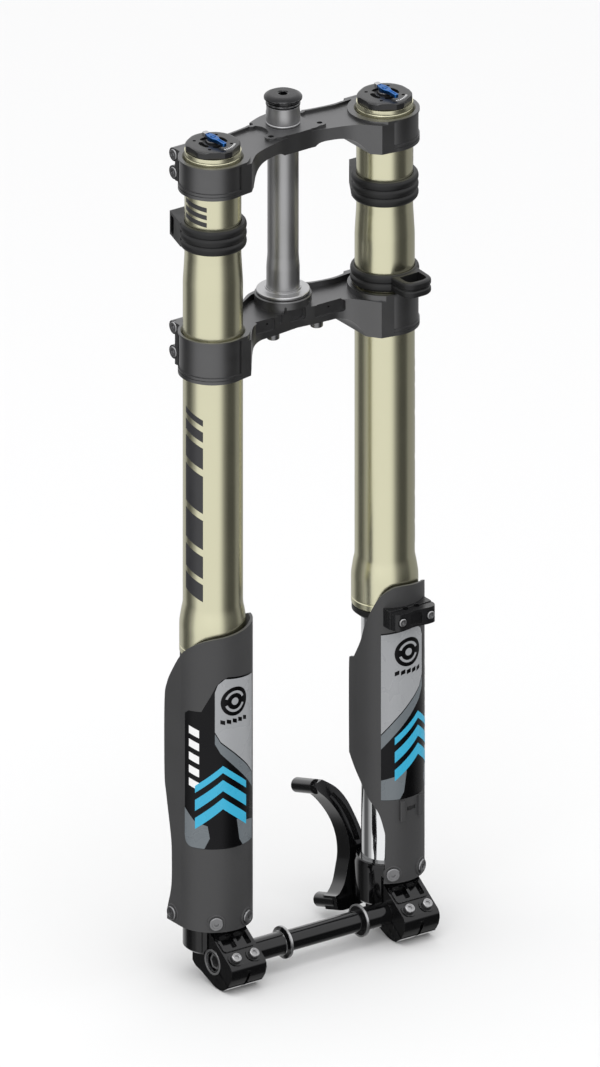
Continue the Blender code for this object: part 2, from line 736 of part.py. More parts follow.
def hose_clamp(plastic, steel):
    """Two blocks screwed together on the left guard, which hold the brake hose."""
    x = LEG_X + 1
    low, high = z_of(287), z_of(305)
    split = LEG_Y - 40.2
    front = LEG_Y - 50
    base = block("hose_clamp_back", (x - 23, split + 0.15, low), (x + 23, LEG_Y - 24, high))
    cover = block("hose_clamp_front", (x - 23, front, low + 1), (x + 23, split - 0.15, high - 1))
    holes = [
        rod(f"hose_hole_{side}", 2.7, low - 5, high + 5, (x + side * 6, split, 0), steps=BOLT)
        for side in (-1, 1)
    ]
    for side in (-1, 1):
        at = (x + side * 15.5, front, z_of(296))
        holes.append(rod(f"clamp_screw_hole_{side}", 2.3, -18, 5, at, (0, -1, 0), BOLT))
    saddle = rod("guard_saddle", GUARD_R + GAP, low - 5, high + 5, (LEG_X, LEG_Y, 0), steps=40)
    cut(base, saddle)
    for made, name in ((base, "hose_clamp_base"), (cover, "hose_clamp_cover")):
        cut(made, *holes)
        cutters.objects.unlink(made)
        parts.objects.link(made)
        made.name = name
        made.hide_render = False
        made.display_type = "TEXTURED"
        made.data.materials.append(plastic)
    for side, name in ((-1, "inner"), (1, "outer")):
        at = (x + side * 15.5, front - GAP, z_of(296))
        screw(f"hose_clamp_screw_{name}", at, (0, -1, 0), 4.0, 2.4, 2.0, 15, steel)


# ---------------------------------------------------------------- the whole fork


def build():
    gold = finish("gold_anodised", (0.62, 0.59, 0.38), 0.28, 0.9)
    anodised = finish("dark_anodised", (0.09, 0.09, 0.095), 0.45, 0.6)
    black = finish("gloss_black", (0.012, 0.012, 0.013), 0.22, 0.3)
    silver = finish("satin_silver", (0.5, 0.5, 0.5), 0.35, 0.9)
    chrome = finish("hard_chrome", (0.75, 0.76, 0.78), 0.08, 1.0)
    steel = finish("bolt_steel", (0.3, 0.3, 0.31), 0.4, 0.9)
    rubber = finish("black_rubber", (0.03, 0.03, 0.032), 0.7)
    plastic = finish("guard_plastic", (0.045, 0.045, 0.047), 0.6)
    bronze = finish("bearing_bronze", (0.45, 0.32, 0.16), 0.4, 0.8)
    blue = finish("blue_anodised", (0.05, 0.2, 0.55), 0.3, 0.8)

    steerer(silver, black)
    top_crown(anodised)
    lower_crown(anodised, steel)
    crown_bolts("top_clamp", TOP_BOLT_HEIGHTS, steel)
    crown_bolts("lower_clamp", LOWER_BOLT_HEIGHTS, steel)
    for side in (-1, 1):
        outer_tube(side, gold)
        top_cap(side, black)
        adjuster(side, blue)
        tube_band(side, rubber)
        seal_and_bushings(side, rubber, bronze)
        stanchion(side, chrome)
        axle_lug(side, black)
        pinch_bolts(side, steel)
        guard(side, plastic)
        guard_bolts(side, steel)
    hose_guide(rubber)
    damper(silver, bronze)
    spring(silver, steel, black)
    axle_and_spacers(black)
    hose_clamp(plastic, steel)


for old in list(bpy.data.objects):
    bpy.data.objects.remove(old)
parts = collection("double_crown_fork")
cutters = collection("cutters")
build()
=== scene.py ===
import math

import bpy
from mathutils import Matrix, Vector


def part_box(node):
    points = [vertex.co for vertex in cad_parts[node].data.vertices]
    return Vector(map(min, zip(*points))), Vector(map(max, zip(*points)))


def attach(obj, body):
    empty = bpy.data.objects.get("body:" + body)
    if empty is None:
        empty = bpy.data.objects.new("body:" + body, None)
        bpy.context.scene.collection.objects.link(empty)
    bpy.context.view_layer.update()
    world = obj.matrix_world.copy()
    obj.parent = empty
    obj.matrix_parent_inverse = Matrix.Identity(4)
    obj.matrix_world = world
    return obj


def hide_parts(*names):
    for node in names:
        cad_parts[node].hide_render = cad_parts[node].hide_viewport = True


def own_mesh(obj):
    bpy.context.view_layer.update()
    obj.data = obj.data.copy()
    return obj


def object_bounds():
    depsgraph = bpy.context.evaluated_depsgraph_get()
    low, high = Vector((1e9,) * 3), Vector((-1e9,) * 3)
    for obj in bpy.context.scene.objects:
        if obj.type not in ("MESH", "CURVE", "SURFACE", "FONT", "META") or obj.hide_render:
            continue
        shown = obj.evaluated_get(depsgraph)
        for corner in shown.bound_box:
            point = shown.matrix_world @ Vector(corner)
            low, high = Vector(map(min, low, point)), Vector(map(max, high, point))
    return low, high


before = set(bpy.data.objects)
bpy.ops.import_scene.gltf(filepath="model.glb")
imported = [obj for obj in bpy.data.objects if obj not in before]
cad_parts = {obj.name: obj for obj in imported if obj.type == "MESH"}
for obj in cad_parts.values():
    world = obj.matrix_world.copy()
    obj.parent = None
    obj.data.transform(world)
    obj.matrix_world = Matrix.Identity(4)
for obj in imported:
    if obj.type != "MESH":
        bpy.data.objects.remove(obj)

MM = 0.001
cad_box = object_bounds()

# ------------------------------------------------------------------ studio
# The fork stands on a pale sweep of paper in a soft white room. Tall dark and bright
# screens round the room give the polished tubes their long stripes. The camera is a
# long lens from the front right of the bicycle, a little above the fork.

VIEW_TURN = math.radians(-35)
VIEW_RISE = math.radians(24)
VIEW_HEIGHT = 1067 / 1.098  # what the long side of the frame takes in, in millimetres
AXLE_UNDER_CROWN = 620 * MM

floor_z = cad_box[0].z - 0.3 * MM

# How bright the room is round the compass below eye level: angle from the camera, level
SCREENS = (
    (-180, 0.62), (-132, 0.55), (-112, 0.10), (-96, 0.10), (-76, 0.42), (-60, 1.0),
    (22, 1.0), (50, 0.16), (62, 0.07), (88, 0.07), (104, 0.30), (150, 0.34), (180, 0.62),
)
CEILING = (1.36, 1.36, 1.365, 1)


def node(tree, kind, x=0, y=0, inputs=(), **settings):
    """A shader node at a place in its tree. Inputs are pairs of a label and either a
    socket to link or a plain value."""
    made = tree.nodes.new(kind)
    made.location = (x, y)
    for name, value in settings.items():
        setattr(made, name, value)
    for label, value in inputs:
        if isinstance(value, bpy.types.NodeSocket):
            tree.links.new(value, made.inputs[label])
        else:
            made.inputs[label].default_value = value
    return made


def maths(tree, operation, first, second=None, x=0, y=0, clamp=False):
    """A Math node fed by sockets or numbers. Returns its output."""
    fed = [(i, value) for i, value in enumerate((first, second)) if value is not None]
    made = node(tree, "ShaderNodeMath", x, y, fed, operation=operation, use_clamp=clamp)
    return made.outputs[0]


def room_light():
    world = bpy.data.worlds.new("white room")
    bpy.context.scene.world = world
    world.use_nodes = True
    tree = world.node_tree
    tree.nodes.clear()
    place = node(tree, "ShaderNodeTexCoord", -1400).outputs["Generated"]
    parts = node(tree, "ShaderNodeSeparateXYZ", -1200, 0, [(0, place)])
    ahead = maths(tree, "MULTIPLY", parts.outputs["Y"], -1, -1000)
    turn = maths(tree, "ARCTAN2", parts.outputs["X"], ahead, -820)
    turn = maths(tree, "SUBTRACT", turn, VIEW_TURN, -650)
    turn = maths(tree, "DIVIDE", turn, 2 * math.pi, -480)
    turn = maths(tree, "FRACT", maths(tree, "ADD", turn, 0.5, -320), None, -160)
    ramp = node(tree, "ShaderNodeValToRGB", 0, 0, [(0, turn)])
    ramp.color_ramp.interpolation = "EASE"
    stops = ramp.color_ramp.elements
    stops.remove(stops[-1])
    stops[0].color = (SCREENS[0][1],) * 3 + (1,)
    for angle, level in SCREENS[1:]:
        stops.new((angle + 180) / 360).color = (level, level, level, 1)
    rise = node(
        tree, "ShaderNodeMapRange", 0, -300,
        [("From Min", -0.05), ("From Max", 0.22), ("Value", parts.outputs["Z"])],
        interpolation_type="SMOOTHSTEP",
    )
    colours = [("Factor", rise.outputs[0]), ("A", ramp.outputs["Color"]), ("B", CEILING)]
    blend = node(tree, "ShaderNodeMix", 320, 0, colours, data_type="RGBA")
    room = node(tree, "ShaderNodeBackground", 560, 0, [("Color", blend.outputs["Result"])])
    plain = node(tree, "ShaderNodeBackground", 560, -200, [("Color", (1, 1, 1, 1))])
    seen = node(tree, "ShaderNodeLightPath", 560, 300).outputs["Is Camera Ray"]
    shaders = [(0, seen), (1, room.outputs[0]), (2, plain.outputs[0])]
    choose = node(tree, "ShaderNodeMixShader", 780, 0, shaders)
    node(tree, "ShaderNodeOutputWorld", 980, 0, [(0, choose.outputs[0])])


def camera_place():
    """Right, up and back of the view."""
    right = Vector((math.cos(VIEW_TURN), math.sin(VIEW_TURN), 0))
    back = Vector((
        math.sin(VIEW_TURN) * math.cos(VIEW_RISE),
        -math.cos(VIEW_TURN) * math.cos(VIEW_RISE),
        math.sin(VIEW_RISE),
    ))
    return right, back.cross(right), back


def camera():
    right, up, back = camera_place()
    data = bpy.data.cameras.new("long_lens")
    data.type = "ORTHO"
    data.ortho_scale = VIEW_HEIGHT * MM
    data.clip_end = 30
    made = bpy.data.objects.new("long_lens", data)
    bpy.context.scene.collection.objects.link(made)
    leg_low, leg_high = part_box("left_outer_tube")
    leg_y = (leg_low.y + leg_high.y) / 2
    aim = Vector((0.9 * MM, leg_y - 0.65 * MM, 387.6 * MM - AXLE_UNDER_CROWN))
    made.location = aim + back * 4
    made.rotation_euler = Matrix((right, up, back)).transposed().to_euler()
    bpy.context.scene.camera = made


def lamp(name, at, size, power):
    """A soft box that faces the fork."""
    data = bpy.data.lights.new(name, "AREA")
    data.shape = "DISK"
    data.size = size
    data.energy = power
    made = bpy.data.objects.new(name, data)
    bpy.context.scene.collection.objects.link(made)
    made.location = at
    made.rotation_euler = (Vector(at) - Vector((0, 0, -0.2))).to_track_quat("Z", "Y").to_euler()


def paper_floor():
    bpy.ops.object.select_all(action="DESELECT")
    bpy.ops.mesh.primitive_plane_add(size=30, location=(0, 0, floor_z))
    paper = bpy.context.object
    paper.name = "paper_floor"
    material = bpy.data.materials.new("white paper")
    material.use_nodes = True
    shader = material.node_tree.nodes["Principled BSDF"]
    shader.inputs["Base Color"].default_value = (0.66, 0.66, 0.66, 1)
    shader.inputs["Roughness"].default_value = 0.9
    shader.inputs["Specular IOR Level"].default_value = 0.1
    paper.data.materials.append(material)
    paper.visible_glossy = False


room_light()
camera()
lamp("overhead_box", at=(-0.5, -0.6, 3.0), size=2.2, power=30)
lamp("front_box", at=(-2.6, -2.0, 0.9), size=1.8, power=8)
paper_floor()
bpy.context.scene.view_settings.view_transform = "Standard"

# ------------------------------------------------------------------ steerer
# The steerer is a drawn alloy tube, turned a little thicker at its foot, where it is
# pressed into the lower crown. It is satin machined, with fine lines round it. A collar
# sits on it over the top crown, a steel race under the bearing, and a cap screws in.


def box_mm(name):
    low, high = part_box(name)
    return low / MM, high / MM


axle_low, axle_high = box_mm("axle")
tube_low, tube_high = box_mm("left_outer_tube")
AXLE_Y = (axle_low.y + axle_high.y) / 2
AXLE_Z = (axle_low.z + axle_high.z) / 2
LEG_X = (tube_low.x + tube_high.x) / 2
LEG_Y = (tube_low.y + tube_high.y) / 2
SIDES = {"left": 1, "right": -1}

# Outlines lie in X and Y, or with these in (Y, Z) and (X, Z). Thickness is along X or -Y
SIDEWAYS = Matrix(((0, 0, 1, 0), (1, 0, 0, 0), (0, 1, 0, 0), (0, 0, 0, 1)))
FORWARD = Matrix(((1, 0, 0, 0), (0, 0, -1, 0), (0, 1, 0, 0), (0, 0, 0, 1)))


def on_leg(side, h=0.0):
    """A point on a leg's axis, at a height above the axle."""
    return Vector((side * LEG_X, LEG_Y, AXLE_Z + h))


def place_at(at, along=(0, 0, 1)):
    """A place in millimetres, with its Z along a direction."""
    turn = Vector((0, 0, 1)).rotation_difference(Vector(along))
    return Matrix.Translation(Vector(at) * MM) @ turn.to_matrix().to_4x4()


def to_edit():
    bpy.ops.object.mode_set(mode="EDIT")


def to_object():
    bpy.ops.object.mode_set(mode="OBJECT")


def only(piece):
    """Selects one piece alone."""
    bpy.ops.object.select_all(action="DESELECT")
    piece.select_set(True)
    bpy.context.view_layer.objects.active = piece


def close_up(piece):
    """Merges doubles and turns the faces outwards."""
    only(piece)
    to_edit()
    bpy.ops.mesh.select_all(action="SELECT")
    bpy.ops.mesh.remove_doubles(threshold=0.000002)
    bpy.ops.mesh.normals_make_consistent(inside=False)
    to_object()


def settle(piece, place=None):
    """Puts a piece's place into its mesh."""
    only(piece)
    bpy.ops.object.transform_apply(location=True, rotation=True, scale=True)
    if place is not None:
        piece.matrix_world = place
        bpy.ops.object.transform_apply(location=True, rotation=True, scale=True)


def lathe(name, rings, steps=96, hollow=False, at=(0, 0, 0), along=(0, 0, 1)):
    """A turned piece: a disc or a ring pulled from one radius and height to the next,
    in millimetres from a point. A hollow one comes back to its first ring."""
    bpy.ops.object.select_all(action="DESELECT")
    radius, height = rings[0]
    bpy.ops.mesh.primitive_circle_add(
        vertices=steps, radius=radius * MM, location=(0, 0, height * MM),
        fill_type="NOTHING" if hollow else "NGON",
    )
    piece = bpy.context.object
    piece.name = name
    to_edit()
    for next_radius, next_height in rings[1:] + (rings[:1] if hollow else []):
        lift = {"value": (0, 0, (next_height - height) * MM)}
        if hollow:
            bpy.ops.mesh.extrude_edges_move(TRANSFORM_OT_translate=lift)
        else:
            bpy.ops.mesh.extrude_region_move(TRANSFORM_OT_translate=lift)
        grow = next_radius / radius
        bpy.ops.transform.resize(
            value=(grow, grow, 1), center_override=(0, 0, next_height * MM)
        )
        radius, height = next_radius, next_height
    to_object()
    settle(piece, place_at(at, along))
    close_up(piece)
    return piece


def slab(name, outline, low, high, place=Matrix()):
    """A flat sheet cut to an outline and pulled up to its thickness."""
    bpy.ops.object.select_all(action="DESELECT")
    bpy.ops.mesh.primitive_circle_add(vertices=len(outline), radius=MM, fill_type="NGON")
    piece = bpy.context.object
    piece.name = name
    for point, (a, b) in zip(piece.data.vertices, outline):
        point.co = (a * MM, b * MM, low * MM)
    to_edit()
    bpy.ops.mesh.select_all(action="SELECT")
    thickness = {"value": (0, 0, (high - low) * MM)}
    bpy.ops.mesh.extrude_region_move(TRANSFORM_OT_translate=thickness)
    to_object()
    settle(piece, place)
    close_up(piece)
    return piece


def drum(radius, low, high, at=(0, 0, 0), along=(0, 0, 1), steps=64):
    """A round tool between two distances from a point."""
    bpy.ops.object.select_all(action="DESELECT")
    bpy.ops.mesh.primitive_cylinder_add(
        vertices=steps, radius=radius * MM, depth=(high - low) * MM,
        location=(0, 0, (low + high) / 2 * MM),
    )
    tool = bpy.context.object
    settle(tool, place_at(at, along))
    return tool


def brick(low, high, place=Matrix()):
    """A square tool between two corners."""
    bpy.ops.object.select_all(action="DESELECT")
    middle = [(a + b) / 2 * MM for a, b in zip(low, high)]
    bpy.ops.mesh.primitive_cube_add(size=1, location=middle)
    tool = bpy.context.object
    tool.scale = [abs(b - a) * MM for a, b in zip(low, high)]
    settle(tool, place)
    return tool


def combine(piece, operation, *tools):
    for tool in tools:
        step = piece.modifiers.new("Combine", "BOOLEAN")
        step.operation = operation
        step.object = tool
        only(piece)
        bpy.ops.object.modifier_apply(modifier=step.name)
        bpy.data.objects.remove(tool)
    return piece


def carve(piece, *tools):
    return combine(piece, "DIFFERENCE", *tools)


def weld(piece, *tools):
    return combine(piece, "UNION", *tools)


def soften(piece, width=0.4, segments=2, angle=30):
    """Breaks the sharp edges, as a machinist does, and marks them for the pale edge colour, which
    is partly real wearing of the edges and partly a painted highlight.
    """
    only(piece)
    to_edit()
    bpy.ops.mesh.select_all(action="SELECT")
    bpy.ops.mesh.remove_doubles(threshold=0.00003)
    bpy.ops.mesh.dissolve_limited(angle_limit=math.radians(0.4))
    to_object()
    for _ in range(2):
        piece.data.materials.append(None)
    edge = piece.modifiers.new("Broken edges", "BEVEL")
    edge.width = width * MM
    edge.segments = segments
    edge.limit_method = "ANGLE"
    edge.angle_limit = math.radians(angle)
    edge.use_clamp_overlap = True
    edge.material = 1
    bpy.ops.object.modifier_apply(modifier=edge.name)
    stored = piece.data.attributes.new("edge", "FLOAT", "FACE")
    stored.data.foreach_set("value", [float(f.material_index == 1) for f in piece.data.polygons])
    for face in piece.data.polygons:
        face.material_index = 0
    piece.data.materials.clear()
    return piece


def smooth(piece, angle=36):
    """Smooth shading that leaves the flat faces flat."""
    only(piece)
    bpy.ops.object.shade_smooth_by_angle(angle=math.radians(angle))
    flat = piece.modifiers.new("Flat faces", "WEIGHTED_NORMAL")
    flat.keep_sharp = True
    bpy.ops.object.modifier_apply(modifier=flat.name)
    return piece


def fit(piece, body, slot_name, material, *nodes):
    """Gives a finished piece its material and its place in the object."""
    piece.data.materials.clear()
    piece.data.materials.append(material)
    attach(piece, body)
    if nodes:
        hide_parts(*nodes)
    return piece


def dress(piece, width, body, slot_name, material, *nodes, segments=2, angle=30):
    """Breaks a piece's edges, smooths it and fits it."""
    return fit(smooth(soften(piece, width, segments, angle)), body, slot_name, material, *nodes)


def joined(name, pieces):
    """Several pieces made one."""
    whole = pieces[0]
    for piece in pieces[1:]:
        only(whole)
        piece.select_set(True)
        bpy.ops.object.join()
    whole.name = name
    return whole


def copy_of(piece, name, place):
    """A copy with its own mesh at another place. A mirrored one is turned right side out."""
    mesh = piece.data.copy()
    mesh.transform(place)
    if place.determinant() < 0:
        mesh.flip_normals()
    made = bpy.data.objects.new(name, mesh)
    bpy.context.scene.collection.objects.link(made)
    return made


def new_group(name, takes, gives):
    """An empty shader node group with named number sockets."""
    group = bpy.data.node_groups.new(name, "ShaderNodeTree")
    for label, value in takes.items():
        socket = group.interface.new_socket(label, in_out="INPUT", socket_type="NodeSocketFloat")
        socket.default_value = value
    for label in gives:
        group.interface.new_socket(label, in_out="OUTPUT", socket_type="NodeSocketFloat")
    return group, node(group, "NodeGroupInput", -1200), node(group, "NodeGroupOutput", 800)


def give(group, given, **sources):
    """Links what a group puts out."""
    for label, source in sources.items():
        group.links.new(source, given.inputs[label])


def turning_lines():
    """Fine lines round the vertical axis, as a turning tool or a drawing die leaves."""
    group, taken, given = new_group("Turning lines", {"Lines per mm": 2.0}, ("Height", "Streak"))
    place = node(group, "ShaderNodeTexCoord", -1200, -300).outputs["Object"]
    parts = node(group, "ShaderNodeSeparateXYZ", -1000, -300, [(0, place)])
    pull = maths(group, "MULTIPLY", parts.outputs["Z"], 1000, -800, -300)
    pull = maths(group, "MULTIPLY", pull, taken.outputs["Lines per mm"], -640, -300)
    wide = [
        (label, maths(group, "MULTIPLY", parts.outputs[label], 10, -640, y))
        for label, y in (("X", -480), ("Y", -620))
    ]
    join = node(group, "ShaderNodeCombineXYZ", -460, -300, [("Z", pull)] + wide)
    fine = node(
        group, "ShaderNodeTexNoise", -260, -300,
        [("Scale", 1.0), ("Detail", 3.0), ("Vector", join.outputs[0])],
    )
    slow = node(
        group, "ShaderNodeTexNoise", -260, -560,
        [("Scale", 22.0), ("Detail", 1.0), ("Vector", place)],
    )
    give(group, given, Height=fine.outputs["Fac"], Streak=slow.outputs["Fac"])
    return group


def handling_marks():
    """Slow, cloudy change in the gloss where hands and cloths have been."""
    group, taken, given = new_group(
        "Handling marks", {"Size mm": 40.0, "Low": 0.2, "High": 0.3}, ("Roughness", "Cloud")
    )
    place = node(group, "ShaderNodeTexCoord", -1000, -200).outputs["Object"]
    scale = maths(group, "DIVIDE", 1000, taken.outputs["Size mm"], -1000, 100)
    broad = node(
        group, "ShaderNodeTexNoise", -700, 0,
        [("Detail", 4.0), ("Distortion", 0.6), ("Scale", scale), ("Vector", place)],
    )
    spread = node(
        group, "ShaderNodeMapRange", -400, 0,
        [
            ("From Min", 0.3), ("From Max", 0.7), ("Value", broad.outputs["Fac"]),
            ("To Min", taken.outputs["Low"]), ("To Max", taken.outputs["High"]),
        ],
    )
    give(group, given, Roughness=spread.outputs[0], Cloud=broad.outputs["Fac"])
    return group


def edge_wear_and_glint():
    """A broken mask along the broken edges of a piece, from its stored edge values. The edges it
    lightens stand partly for wearing and partly for a painted highlight.
    """
    group, taken, given = new_group("Edge wear", {"Amount": 0.5, "Patch mm": 6.0}, ("Mask",))
    corner = node(group, "ShaderNodeAttribute", -900, 0, attribute_name="edge")
    place = node(group, "ShaderNodeTexCoord", -900, -300).outputs["Object"]
    scale = maths(group, "DIVIDE", 1000, taken.outputs["Patch mm"], -900, -500)
    patch = node(
        group, "ShaderNodeTexNoise", -600, -300,
        [("Detail", 5.0), ("Scale", scale), ("Vector", place)],
    )
    sharp = maths(group, "MULTIPLY", corner.outputs["Fac"], taken.outputs["Amount"], -600, 0)
    broken = maths(group, "SUBTRACT", patch.outputs["Fac"], 0.36, -380, -300)
    broken = maths(group, "MULTIPLY", broken, 4.0, -200, -300, clamp=True)
    give(group, given, Mask=maths(group, "MULTIPLY", sharp, broken, 0, 0, clamp=True))
    return group


def grain():
    """A fine pebbled height, as on moulded plastic, rubber or bead-blasted metal."""
    group, taken, given = new_group("Grain", {"Pebble mm": 0.6, "Blend": 0.5}, ("Height",))
    place = node(group, "ShaderNodeTexCoord", -1000, -200).outputs["Object"]
    scale = maths(group, "DIVIDE", 1000, taken.outputs["Pebble mm"], -1000, 100)
    fed = [("Scale", scale), ("Vector", place)]
    pebble = node(group, "ShaderNodeTexVoronoi", -700, 0, fed)
    fine = node(group, "ShaderNodeTexNoise", -700, -320, fed + [("Detail", 3.0)])
    mixed = node(
        group, "ShaderNodeMix", -400, 0,
        [
            ("Factor", taken.outputs["Blend"]), ("A", pebble.outputs["Distance"]),
            ("B", fine.outputs["Fac"]),
        ],
    )
    give(group, given, Height=mixed.outputs["Result"])
    return group


LINES, MARKS, WEAR_AND_GLINT, GRAIN = turning_lines(), handling_marks(), edge_wear_and_glint(), grain()


def use(tree, group, x, y, **values):
    """A group placed in a material with this material's own values."""
    inputs = [(label.replace("_", " "), value) for label, value in values.items()]
    return node(tree, "ShaderNodeGroup", x, y, inputs, node_tree=group)


def tint(tree, factor, dark, light, x=0, y=0):
    """A colour between two, by a mask. Either may be a colour or a socket."""
    ends = [
        (label, value if isinstance(value, bpy.types.NodeSocket) else (*value, 1))
        for label, value in (("A", dark), ("B", light))
    ]
    inputs = [("Factor", factor)] + ends
    return node(tree, "ShaderNodeMix", x, y, inputs, data_type="RGBA").outputs["Result"]


def raise_surface(tree, height, strength, depth):
    """A Bump on the shader's Normal from a height in shares of depth."""
    inputs = [("Strength", strength), ("Distance", depth * MM), ("Height", height)]
    bump = node(tree, "ShaderNodeBump", 0, -500, inputs)
    tree.links.new(bump.outputs[0], tree.nodes["Principled BSDF"].inputs["Normal"])


def finish(name, metallic=0.0, coat=0.0):
    """A material with its plain values set on the shader itself."""
    material = bpy.data.materials.new(name)
    material.use_nodes = True
    shader = material.node_tree.nodes["Principled BSDF"]
    shader.location = (300, 0)
    shader.inputs["Metallic"].default_value = metallic
    shader.inputs["Coat Weight"].default_value = coat
    shader.inputs["Coat Roughness"].default_value = 0.08
    return material, material.node_tree, shader


def machined(name, dark, light, low, high, lines=2.0, bite=0.12, wear_and_glint=0.3, metallic=1.0):
    """Turned or drawn metal: clouded colour and gloss, fine lines, and edges lightened partly for
    wearing and partly as a painted highlight.
    """
    material, tree, shader = finish(name, metallic)
    turned_lines = use(tree, LINES, -900, -300, Lines_per_mm=lines)
    marks = use(tree, MARKS, -900, 0, Size_mm=45, Low=low, High=high)
    corners = use(tree, WEAR_AND_GLINT, -900, 300, Amount=wear_and_glint, Patch_mm=5)
    colour = tint(tree, turned_lines.outputs["Streak"], dark, light, -500, 200)
    # Pale edge colour: partly wearing, partly a painted highlight where the edges catch the light.
    bright = tuple(min(1, c * 1.35) for c in light)
    colour = tint(tree, corners.outputs["Mask"], colour, bright, -250, 200)
    tree.links.new(colour, shader.inputs["Base Color"])
    tree.links.new(marks.outputs["Roughness"], shader.inputs["Roughness"])
    raise_surface(tree, turned_lines.outputs["Height"], bite, 0.02)
    return material


def moulded(name, dark, light, low, high, pebble=0.6, bite=0.3, depth=0.05, wear_and_glint=0.3,
            worn_and_glint=None, metallic=0.0, blend=0.5, size=30, coat=0.0):
    """A moulded, blasted or painted surface: grain, cloudy gloss, and edges lightened partly for
    wearing and partly as a painted highlight.
    """
    material, tree, shader = finish(name, metallic, coat)
    skin = use(tree, GRAIN, -900, -300, Pebble_mm=pebble, Blend=blend)
    marks = use(tree, MARKS, -900, 0, Size_mm=size, Low=low, High=high)
    corners = use(tree, WEAR_AND_GLINT, -900, 300, Amount=wear_and_glint, Patch_mm=4)
    colour = tint(tree, marks.outputs["Cloud"], dark, light, -500, 200)
    # Pale edge colour: partly wearing, partly a painted highlight where the edges catch the light.
    bright = worn_and_glint or tuple(min(1, c * 2.0) for c in light)
    colour = tint(tree, corners.outputs["Mask"], colour, bright, -250, 200)
    tree.links.new(colour, shader.inputs["Base Color"])
    tree.links.new(marks.outputs["Roughness"], shader.inputs["Roughness"])
    raise_surface(tree, skin.outputs["Height"], bite, depth)
    return material


satin_alloy = machined("satin machined alloy", (0.36, 0.36, 0.36), (0.43, 0.43, 0.44), 0.36, 0.42)
# The pale edge colour here is partly wearing and partly a painted highlight along the edges.
black_anodised = moulded(
    "black anodised", (0.006, 0.006, 0.007), (0.010, 0.010, 0.011), 0.16, 0.24, pebble=0.4,
    bite=0.04, worn_and_glint=(0.20, 0.20, 0.205), wear_and_glint=0.8, metallic=0.6,
)
white_print = moulded(
    "white print", (0.70, 0.70, 0.70), (0.78, 0.78, 0.78), 0.4, 0.5, pebble=0.3, bite=0.1,
    depth=0.01, wear_and_glint=0.0,
)

GAP = 0.1  # between a piece and the hole it sits in
STEERER_R, BORE_R = 14.3, 11.9
foot_low, _ = box_mm("steerer_tube")
FOOT_R = abs(foot_low.x)
SHOULDER = 650.0
steerer_top, steerer_foot = 807.0, foot_low.z - AXLE_Z
ORIGIN_AXIS = Vector((0, 0, AXLE_Z))
steerer = lathe(
    "steerer",
    [
        (STEERER_R, steerer_top), (STEERER_R, SHOULDER + 9), (STEERER_R + 0.15, SHOULDER + 6),
        (FOOT_R - 0.15, SHOULDER - 2), (FOOT_R, SHOULDER - 5), (FOOT_R, steerer_foot),
        (BORE_R, steerer_foot), (BORE_R, steerer_top),
    ],
    hollow=True, at=ORIGIN_AXIS,
)
dress(steerer, 0.4, "chassis", "satin_silver", satin_alloy, "steerer_tube")

collar_bore = STEERER_R + GAP
collar = lathe(
    "steerer_collar_ring",
    [
        (15.2, 806.9), (15.3, 806.6), (15.3, 801), (15.8, 799.4), (15.8, 791.2), (15.4, 790.9),
        (15.4, 790.3), (15.8, 790), (15.8, 788.7), (collar_bore, 788.7), (collar_bore, 806.9),
    ],
    hollow=True, at=ORIGIN_AXIS,
)
dress(collar, 0.2, "chassis", "satin_silver", satin_alloy, "steerer_collar")

race_bore = FOOT_R + GAP
race = lathe(
    "race_ring",
    [
        (16.6, 626.0), (16.6, 624.2), (18.4, 623.7), (23.9, 623.7), (24.6, 623.0), (24.6, 621.6),
        (23.7, 621.2), (23.7, 620.3), (race_bore, 620.3), (race_bore, 626.0),
    ],
    hollow=True, at=ORIGIN_AXIS,
)
dress(race, 0.25, "chassis", "satin_silver", satin_alloy, "crown_race")

cap = lathe(
    "steerer_cap_disc",
    [
        (12.3, 818), (16.9, 815.7), (17.65, 814.7), (17.65, 813.2), (16.8, 812.2),
        (15.2, 811.6), (15.2, 809.6), (15.9, 809.2), (15.9, 807.3), (11.6, 807.3), (11.6, 793.5),
    ],
    at=ORIGIN_AXIS,
)
carve(cap, drum(4.62, 810, 825, ORIGIN_AXIS, steps=6), drum(5.3, 817.4, 825, ORIGIN_AXIS))
dress(cap, 0.3, "chassis", "gloss_black", black_anodised, "steerer_cap")


PRINT_THICK = 0.1


def ring_of_marks(name, count, radius, height, size, at, start=0, sweep=360):
    """Small printed bars round a circle, as one piece."""
    long, wide = size
    low = (radius - long / 2, -wide / 2, height)
    high = (radius + long / 2, wide / 2, height + PRINT_THICK)
    bars = []
    for index in range(count):
        turn = Matrix.Rotation(math.radians(start + sweep * index / count), 4, "Z")
        bars.append(brick(low, high, place_at(at) @ turn))
    return joined(name, bars)


ticks = ring_of_marks("cap_ring_marks", 40, 11.0, 817.88, (1.3, 0.45), ORIGIN_AXIS)
fit(ticks, "chassis", "gloss_black", white_print)

# ------------------------------------------------------------------ top crown
# The top crown is machined from one billet: a thin arched web with a raised platform
# for the stem, and a split clamp round each leg. It is blasted and anodised dark grey.

crown_metal = moulded(
    "dark grey anodised", (0.110, 0.110, 0.112), (0.135, 0.135, 0.137), 0.33, 0.40, pebble=0.35,
    bite=0.10, depth=0.03, worn_and_glint=(0.30, 0.30, 0.31), wear_and_glint=0.5, metallic=0.95, size=45,
)
TOP_LOW, TOP_HIGH = 757.0, 788.4
CLAMP_R, CLAMP_WAIST = 32.0, 30.9
EAR_OUT, EAR_IN, EAR_BOLT, EAR_FACE = 18.8, 15.5, 36.0, 33.5
LOBE_R = 6.6
TUBE_UPPER_R, TUBE_R = 26.0, 27.5


